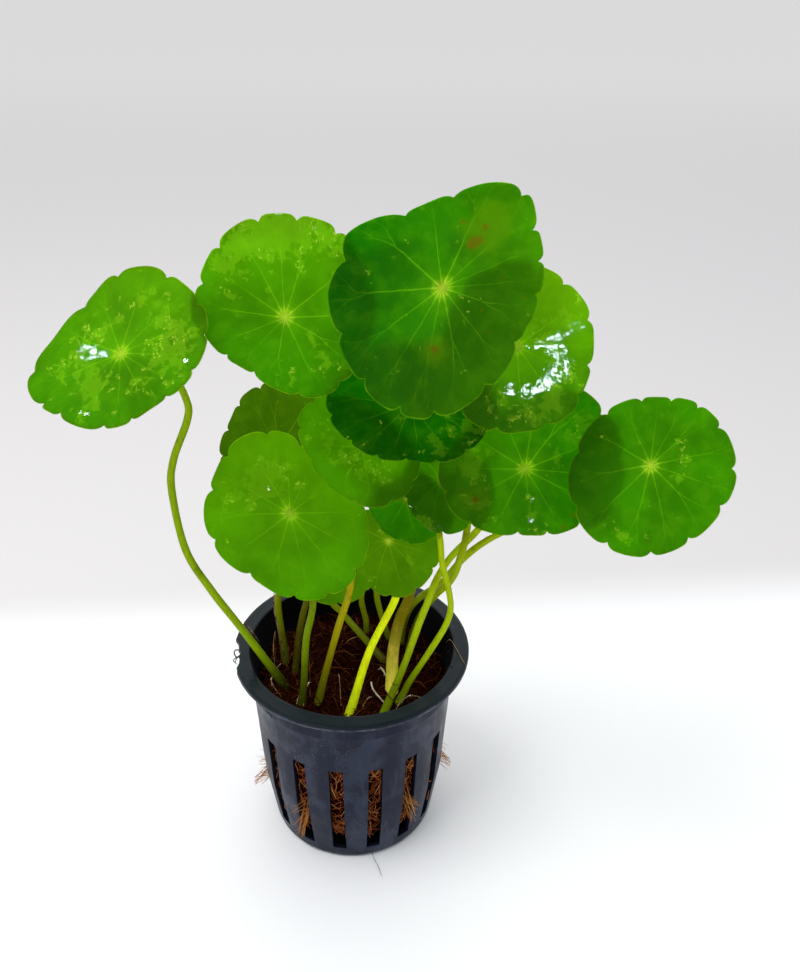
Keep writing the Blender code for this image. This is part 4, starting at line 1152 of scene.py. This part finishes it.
def blade_finish(name, faces, glows, gloss, through_share_painted_shade=1.0):
    """Leaf green. faces are the colours by reflected light, of an old and of a fresh blade, and glows those
    of light let through, of which only a share comes out: less on blades that don't shade themselves, as
    painted shade.
    The blade's freshness also carries a slope of painted light and shade across it. Marks kept on the mesh
    place the wet skin, seen as broken glints, the pale film, whose paleness is partly painted sheen, with
    painted glints at its ragged edge, and the stains. The thin pale edge line is partly a painted rim
    highlight."""
    s = Shader(bpy.data.materials.new(name))
    place = s.place()
    lobe = s.node("UVMap", uv_map="lobe")
    across, from_hub = s.node("SeparateXYZ", {0: lobe}), s.node("SeparateXYZ", {0: lobe}, 1)
    cloud = s.noise(place, 0.011, 2.0)
    mottle = s.noise(place, 0.0032, 4.0, 0.6)
    fine = s.noise(place, 0.0007, 3.0, 0.7)
    vein = vein_lines(s, place, across, from_hub, mottle)
    centre = s.step(from_hub + (fine * 0.07 - vein * 0.06), 0.17, 0.0)
    halo = s.step(from_hub, 0.30, 0.03, 0.0, 0.24)
    patches = s.step(mottle, 0.42, 0.70, 0.0, 0.14)
    # Thin pale line along the edge: the blade's own edge colour, and partly a painted rim highlight
    edge_line_and_painted_rim_light = s.step(from_hub, 0.985, 0.997) * s.step(mottle, 0.35, 0.62, 0.35, 1.0)
    inner = s.step(from_hub, 0.955, 0.980) * s.attribute("rust")
    # Freshness of the blade; its slope across the blade is painted light and shade
    freshness_and_painted_light = s.attribute("freshness_and_painted_light")

    ragged = s.noise(place, 0.0016, 4.0, 0.8) * 1.6 - 0.8
    glints = s.step(s.noise(place, 0.0012, 3.0, 0.7), 0.47, 0.49)
    wet = s.step(s.attribute("wet") + ragged, 0.38, 0.42) * glints
    # Pale water film: its paler colour is partly a painted sheen from tiny drops
    film_raw = s.attribute("film") * 0.95 + (s.noise(place, 0.0022, 5.0, 0.65) * 5.2 - 2.6)
    film = s.step(film_raw, 0.82, 0.92)
    # Bright specks along the film's ragged edge: painted glints
    painted_glints = s.step(abs(film_raw - 0.95), 0.34, 0.10) * s.step(s.noise(place, 0.0007, 3.0, 0.75), 0.54, 0.58)
    painted_glints = painted_glints * s.step(s.noise(place, 0.005, 2.0), 0.48, 0.56)
    stain = s.attribute("stain") + (s.noise(place, 0.0010, 3.0, 0.7) - 0.5) * 1.1
    stain = s.step(stain, 0.50, 0.95, 0.0, 0.75)
    aged = s.step(s.attribute("aged") + (mottle - 0.5) * 0.8, 0.15, 0.95, 0.0, 0.7)
    specks = s.step(s.noise(place, 0.0011, 2.0, 0.5), 0.70, 0.76)

    def tinted(pair, lighter):
        """A colour with what reflected and let-through light share: clouds, veins and the pale ring at the
        hub.
        """
        deeper = s.mix(freshness_and_painted_light, tuple(0.80 * c for c in pair[0]), tuple(0.84 * c for c in pair[1]))
        made = s.mix(s.step(cloud, 0.35, 0.68), s.mix(freshness_and_painted_light, *pair), deeper)
        return s.over(made, *((share, lighter) for share in (patches, halo, vein)))

    colour = s.over(
        tinted(faces, (0.17, 0.40, 0.010)),
        (film * 0.55, (0.24, 0.47, 0.01)),
        (painted_glints * 0.75, (0.72, 0.88, 0.07)),
        (aged, (0.11, 0.24, 0.002)),
        (stain, (0.20, 0.17, 0.004)),
        (specks * 0.4, (0.03, 0.05, 0.002)),
        (centre * 0.9, (0.66, 1.0, 0.05)),
        (inner * 0.8, (0.13, 0.07, 0.005)),
        (edge_line_and_painted_rim_light * 0.6, (0.22, 0.52, 0.010)),
    )
    through = s.over(
        tinted(glows, (0.55, 0.95, 0.01)),
        (aged, (0.28, 0.56, 0.004)),
        (stain, (0.34, 0.29, 0.006)),
        (centre, (0.84, 1.0, 0.06)),
        (inner * 0.7, (0.30, 0.20, 0.01)),
        (edge_line_and_painted_rim_light * 0.7, (0.70, 1.0, 0.04)),
    )
    # Below 1 this share of the through-light is painted shade
    through = s.mix(1.0, through, (through_share_painted_shade,) * 3, "MULTIPLY")

    rough = s.step(mottle, 0.3, 0.7, gloss - 0.05, gloss + 0.08)
    normal = s.bump(vein, 0.00010, -0.6, s.bump(fine, 0.00005, 0.5))
    normal = s.bump(mottle, 0.0003, 0.35, normal)
    ripples = s.bump(s.noise(place, 0.0011, 3.0, 0.5), 0.00011)
    s.surface(colour, rough, normal, Specular_IOR_Level=0.004, Coat_Weight=wet, Coat_Roughness=0.04,
              Coat_IOR=1.6, Coat_Normal=ripples)
    return let_light_through(s, 0.5, through, normal)


GREEN_FACES = ((0.010, 0.117, 0.001), (0.095, 0.285, 0.002))
GREEN_GLOWS = ((0.085, 0.49, 0.003), (0.48, 0.81, 0.005))
OLIVE_FACES = ((0.040, 0.125, 0.001), (0.060, 0.160, 0.001))
OLIVE_GLOWS = ((0.19, 0.58, 0.004), (0.25, 0.68, 0.004))
# The shaded and olive finishes let out less light through them: painted shade for the low back blades, which
# don't shade themselves from the glow
BLADE_TONES = {
    "green": blade_finish("leaf_green", GREEN_FACES, GREEN_GLOWS, 0.38),
    "shaded": blade_finish("leaf_shaded", GREEN_FACES, GREEN_GLOWS, 0.38, 0.42),
    "olive": blade_finish("leaf_olive", OLIVE_FACES, OLIVE_GLOWS, 0.5, 0.24),
}
RECORD_SLOTS = {s["node"]: s["material_slot"] for s in frame["record"]["subparts"]}
# Low back blades that don't shade the ones in front of them, nor themselves, from the glow: their finishes
# let less light through, as painted shade
LET_GLOW_PAST = ("olive", "small_back", "small_front")

for leaf_name, leaf in LEAVES.items():
    node = "leaf_" + leaf_name
    points, faces, lobe_uv, flat = blade_surface(node, leaf)
    blade = new_object("blade_" + leaf_name, points, faces, BLADE_TONES[leaf["tone"]], RECORD_SLOTS[node],
                       [node], uv={"lobe": lobe_uv})
    marks = {mark: spots(leaf.get(mark, ()), flat) for mark in ("wet", "film", "stain", "aged")}
    # Freshness, with a slope across the blade that is painted light and shade
    marks["freshness_and_painted_light"] = np.clip(leaf["freshness_and_painted_light"] + flat @ leaf.get("turns", (0.0, 0.0)), 0.0, 1.0)
    marks["rust"] = np.full(len(flat), leaf["rust"])
    add_marks(blade, marks)
    if leaf_name not in LET_GLOW_PAST:
        blades.objects.link(blade)


# Leaf stalks. One slim juicy stalk a leaf, about 2 mm thick, fixed to the middle of the blade's underside and
# rooted in the coir. Each bows in its own way; old ones have gone olive, amber or brown.
# Depth under the blade of each ring of the flare, and its width against the stalk's own
FLARE = ((0.42, 1.5), (0.6, 1.3), (0.9, 1.15), (1.2, 1.05))
NECK_DEPTHS = (1.6, 4.0)
STRAIGHT_END = 4.5
ROOTED_DEPTH = 3.0
STALK_RINGS = 110
STALK_SIDES = 16
# For each blade's stalk, its radii at the blade and in the coir, its tone and the places that it runs through
STALKS = {
    "far_left": dict(radii=(0.8, 1.0), tone="fresh", route=(
        (-35.4, -9.5, 132), (-33.3, -8, 126), (-34, -7, 121), (-38.2, -6, 111), (-39.5, -6, 103),
        (-37.5, -8, 88.5), (-32.5, -9, 78), (-26, -8, 65), (-17, -5.5, 45),
    )),
    "upper_left": dict(radii=(0.8, 0.9), tone="dim", route=(
        (-6, -4, 134), (-3, -2.5, 122), (-2.5, 3.5, 111), (-4, 5.5, 100), (-9, 1.5, 88), (-14, -0.8, 78),
        (-18.5, 1.5, 68), (-18, 4, 45),
    )),
    "top": dict(radii=(1.0, 1.5), tone="amber", route=(
        (17, -1, 142), (16.5, 6, 128), (16, 8, 112), (16, 6, 97), (15.5, 2, 82), (14.4, -1.6, 71.5),
        (12.4, -3.6, 66.6), (11.2, -4.8, 61.5), (10.5, -6, 55.5), (10.4, -7.2, 45),
    )),
    "upper_right": dict(radii=(0.8, 0.9), tone="green_then_dark", route=(
        (32, 1, 130), (31, 3, 118), (29, 1, 104), (27.6, -2.5, 94), (26.9, -5.2, 90.2), (25.8, -6.8, 86.3),
        (24.9, -6.9, 82.4), (23.3, -4.6, 77.3), (20.9, -1, 71.5), (17.8, 3.9, 62), (15.8, 7.1, 53),
        (14.8, 8.6, 45),
    )),
    "middle": dict(radii=(0.8, 1.0), tone="lime_painted_lit", route=(
        (15, -4, 121), (14, 3, 114), (12.5, 5, 104), (13, 2, 92), (11.5, -3, 80), (11, -6, 74),
        (5, -11, 62), (0, -15.5, 45),
    )),
    "lower_right": dict(radii=(0.8, 0.9), tone="bright", route=(
        (37, -4, 104), (34.5, -1, 96.5), (31, -1, 92), (28.4, -1.8, 89), (24.6, -3.6, 85.6),
        (22.1, -5, 82.4), (20.1, -7, 79), (18.4, -8.8, 74.3), (16.6, -10.3, 69.4), (14, -12.2, 60.8),
        (11.9, -13.2, 54.4), (8.6, -14.5, 45),
    )),
    "far_right": dict(radii=(0.8, 0.9), tone="green_then_dark", route=(
        (60, -8, 108), (48, -3.5, 98), (37, -3, 92.3), (30.7, -2.5, 87.5), (26.3, -1.5, 81.8),
        (22.8, 0.4, 74.7), (20.5, 2.2, 71.1), (17.2, 4.8, 66.2), (14.5, 7.8, 59.8), (13, 10.4, 52),
        (12.4, 12, 45),
    )),
    "olive": dict(radii=(0.8, 0.9), tone="dim", route=(
        (-14.5, 13.5, 96), (-11.5, 14.5, 80), (-6.5, 12, 60.5), (-3, 10.5, 56), (8, 5, 45),
    )),
    "lower_left": dict(radii=(0.8, 0.9), tone="grass", route=(
        (-10.5, -9, 90), (-8, -13, 79), (-10, -13.5, 67), (-11, -13, 54), (-12, -12.5, 45),
    )),
    "centre": dict(radii=(0.8, 0.9), tone="olive", route=(
        (2.5, -5, 106), (2, -6.5, 96), (1, -9, 86), (0, -8.5, 77), (-2.5, -9, 68), (-5.5, -10, 56),
        (-8, -11, 45),
    )),
    "small_right": dict(radii=(0.7, 0.8), tone="bright", route=(
        (20.5, -6.5, 103), (20.5, -10, 97), (21, -11, 93), (21.5, -11, 88), (23, -11, 82), (24, -11, 75.5),
        (23, -11, 70), (19.5, -11, 62), (15, -11.5, 53), (12, -11.5, 45),
    )),
    "small_dark": dict(radii=(0.7, 0.8), tone="dim", route=(
        (10.5, 3, 94), (8.5, 8, 86), (7, 9, 76), (6, 8, 66), (7, 9, 58), (9.5, 13, 45),
    )),
    "small_front": dict(radii=(0.7, 0.8), tone="dim", route=(
        (7.5, 2.5, 80), (4, 7.5, 71), (2, 10, 62), (3, 13, 52), (3, 16, 45),
    )),
    "small_back": dict(radii=(0.8, 0.9), tone="brown", route=(
        (-8, 8.5, 72), (-12, 6, 63), (-14, 3, 54.5), (-15, -0.5, 45),
    )),
}
# Colour above and at the coir, and the shares of the stalk's length where the one turns into the other
STALK_TONES = {
    "fresh": ((0.27, 0.39, 0.004), (0.01, 0.007, 0.001), 0.82, 0.97),
    "grass": ((0.19, 0.28, 0.003), (0.04, 0.045, 0.001), 0.58, 0.94),
    "bright": ((0.40, 0.52, 0.004), (0.18, 0.26, 0.003), 0.62, 0.92),
    # Green above, turning dark lower down
    "green_then_dark": ((0.34, 0.44, 0.004), (0.08, 0.10, 0.002), 0.66, 0.88),
    # The middle blade's stalk: its pale yellow-green is painted brighter, standing in for the light that
    # falls on it from the front
    "lime_painted_lit": ((0.78, 0.87, 0.008), (0.60, 0.72, 0.008), 0.84, 0.98),
    "amber": ((0.20, 0.16, 0.002), (1.0, 0.92, 0.12), 0.80, 1.0),
    "olive": ((0.44, 0.38, 0.004), (0.12, 0.12, 0.003), 0.62, 0.95),
    "dim": ((0.22, 0.28, 0.003), (0.06, 0.055, 0.002), 0.74, 1.0),
    "brown": ((0.14, 0.13, 0.003), (0.04, 0.028, 0.002), 0.40, 0.90),
}


def stalk_finish(name, high, low, turns, ends):
    """Juicy green stalk: its colour runs from high, above, to low, at the coir, with fine lines along it,
    small pale specks and a soft gloss."""
    s = Shader(bpy.data.materials.new(name))
    place = s.place()
    along = s.node("SeparateXYZ", {0: s.node("UVMap", uv_map="stalk")}, 1)
    lines = s.noise(s.stretched(place, (1.0, 1.0, 0.12)), 0.0004, 2.0)
    specks = s.step(s.noise(place, 0.0006, 2.0, 0.6), 0.64, 0.72)
    age = s.step(s.noise(place, 0.006, 3.0, 0.6), 0.52, 0.75, 0.0, 0.40)
    colour = s.over(
        s.mix(s.step(along, turns, ends), high, low),
        (s.step(lines, 0.35, 0.7, 0.0, 0.22), (0.06, 0.12, 0.002)),
        (specks * 0.3, (0.60, 0.62, 0.06)),
        (age, (low[0] * 1.1, low[1] * 0.75, low[2])),
    )
    normal = s.bump(lines, 0.0001, 0.5)
    s.surface(colour, 0.35, normal, Specular_IOR_Level=0.04)
    return let_light_through(s, 0.3, colour, normal)


stalk_finishes = {name: stalk_finish("stalk_" + name, *tones) for name, tones in STALK_TONES.items()}


def stalk_surface(leaf, radii, places):
    """Tube from the underside of the blade to its foot in the coir. It flares into the blade over its last
    millimetre, swells a little towards the foot and is very slightly uneven."""
    hub = np.array(leaf["hub"], float)
    out = leaf_axes(leaf)[2]
    places = [np.array(p, float) for p in places]
    foot = places[-1]
    way = unit(places[-2] - foot)
    neck = [hub - out * depth for depth in NECK_DEPTHS]
    rooted = [foot + way * STRAIGHT_END, foot, foot - way * ROOTED_DEPTH]
    route = smooth_route(neck + places[:-1] + rooted, STALK_RINGS)
    flare_depths, flare_widths = np.transpose(FLARE)
    route = np.vstack([hub - out * flare_depths[:, None], route])
    slim, stout = radii
    length = np.linspace(0, 1, STALK_RINGS)
    body = slim + (stout - slim) * length**1.5 + 0.03 * np.sin(31 * length) * np.sin(11 * length)
    body = body + 0.22 * np.exp(-(((length - 1) / 0.10) ** 2))
    return tube(route, np.concatenate([slim * flare_widths, body]), STALK_SIDES)


for leaf_name, stalk in STALKS.items():
    points, faces, along_uv = stalk_surface(LEAVES[leaf_name], stalk["radii"], stalk["route"])
    new_object("stem_" + leaf_name, points, faces, stalk_finishes[stalk["tone"]], "stalk",
               ["stalk_" + leaf_name], uv={"stalk": along_uv})
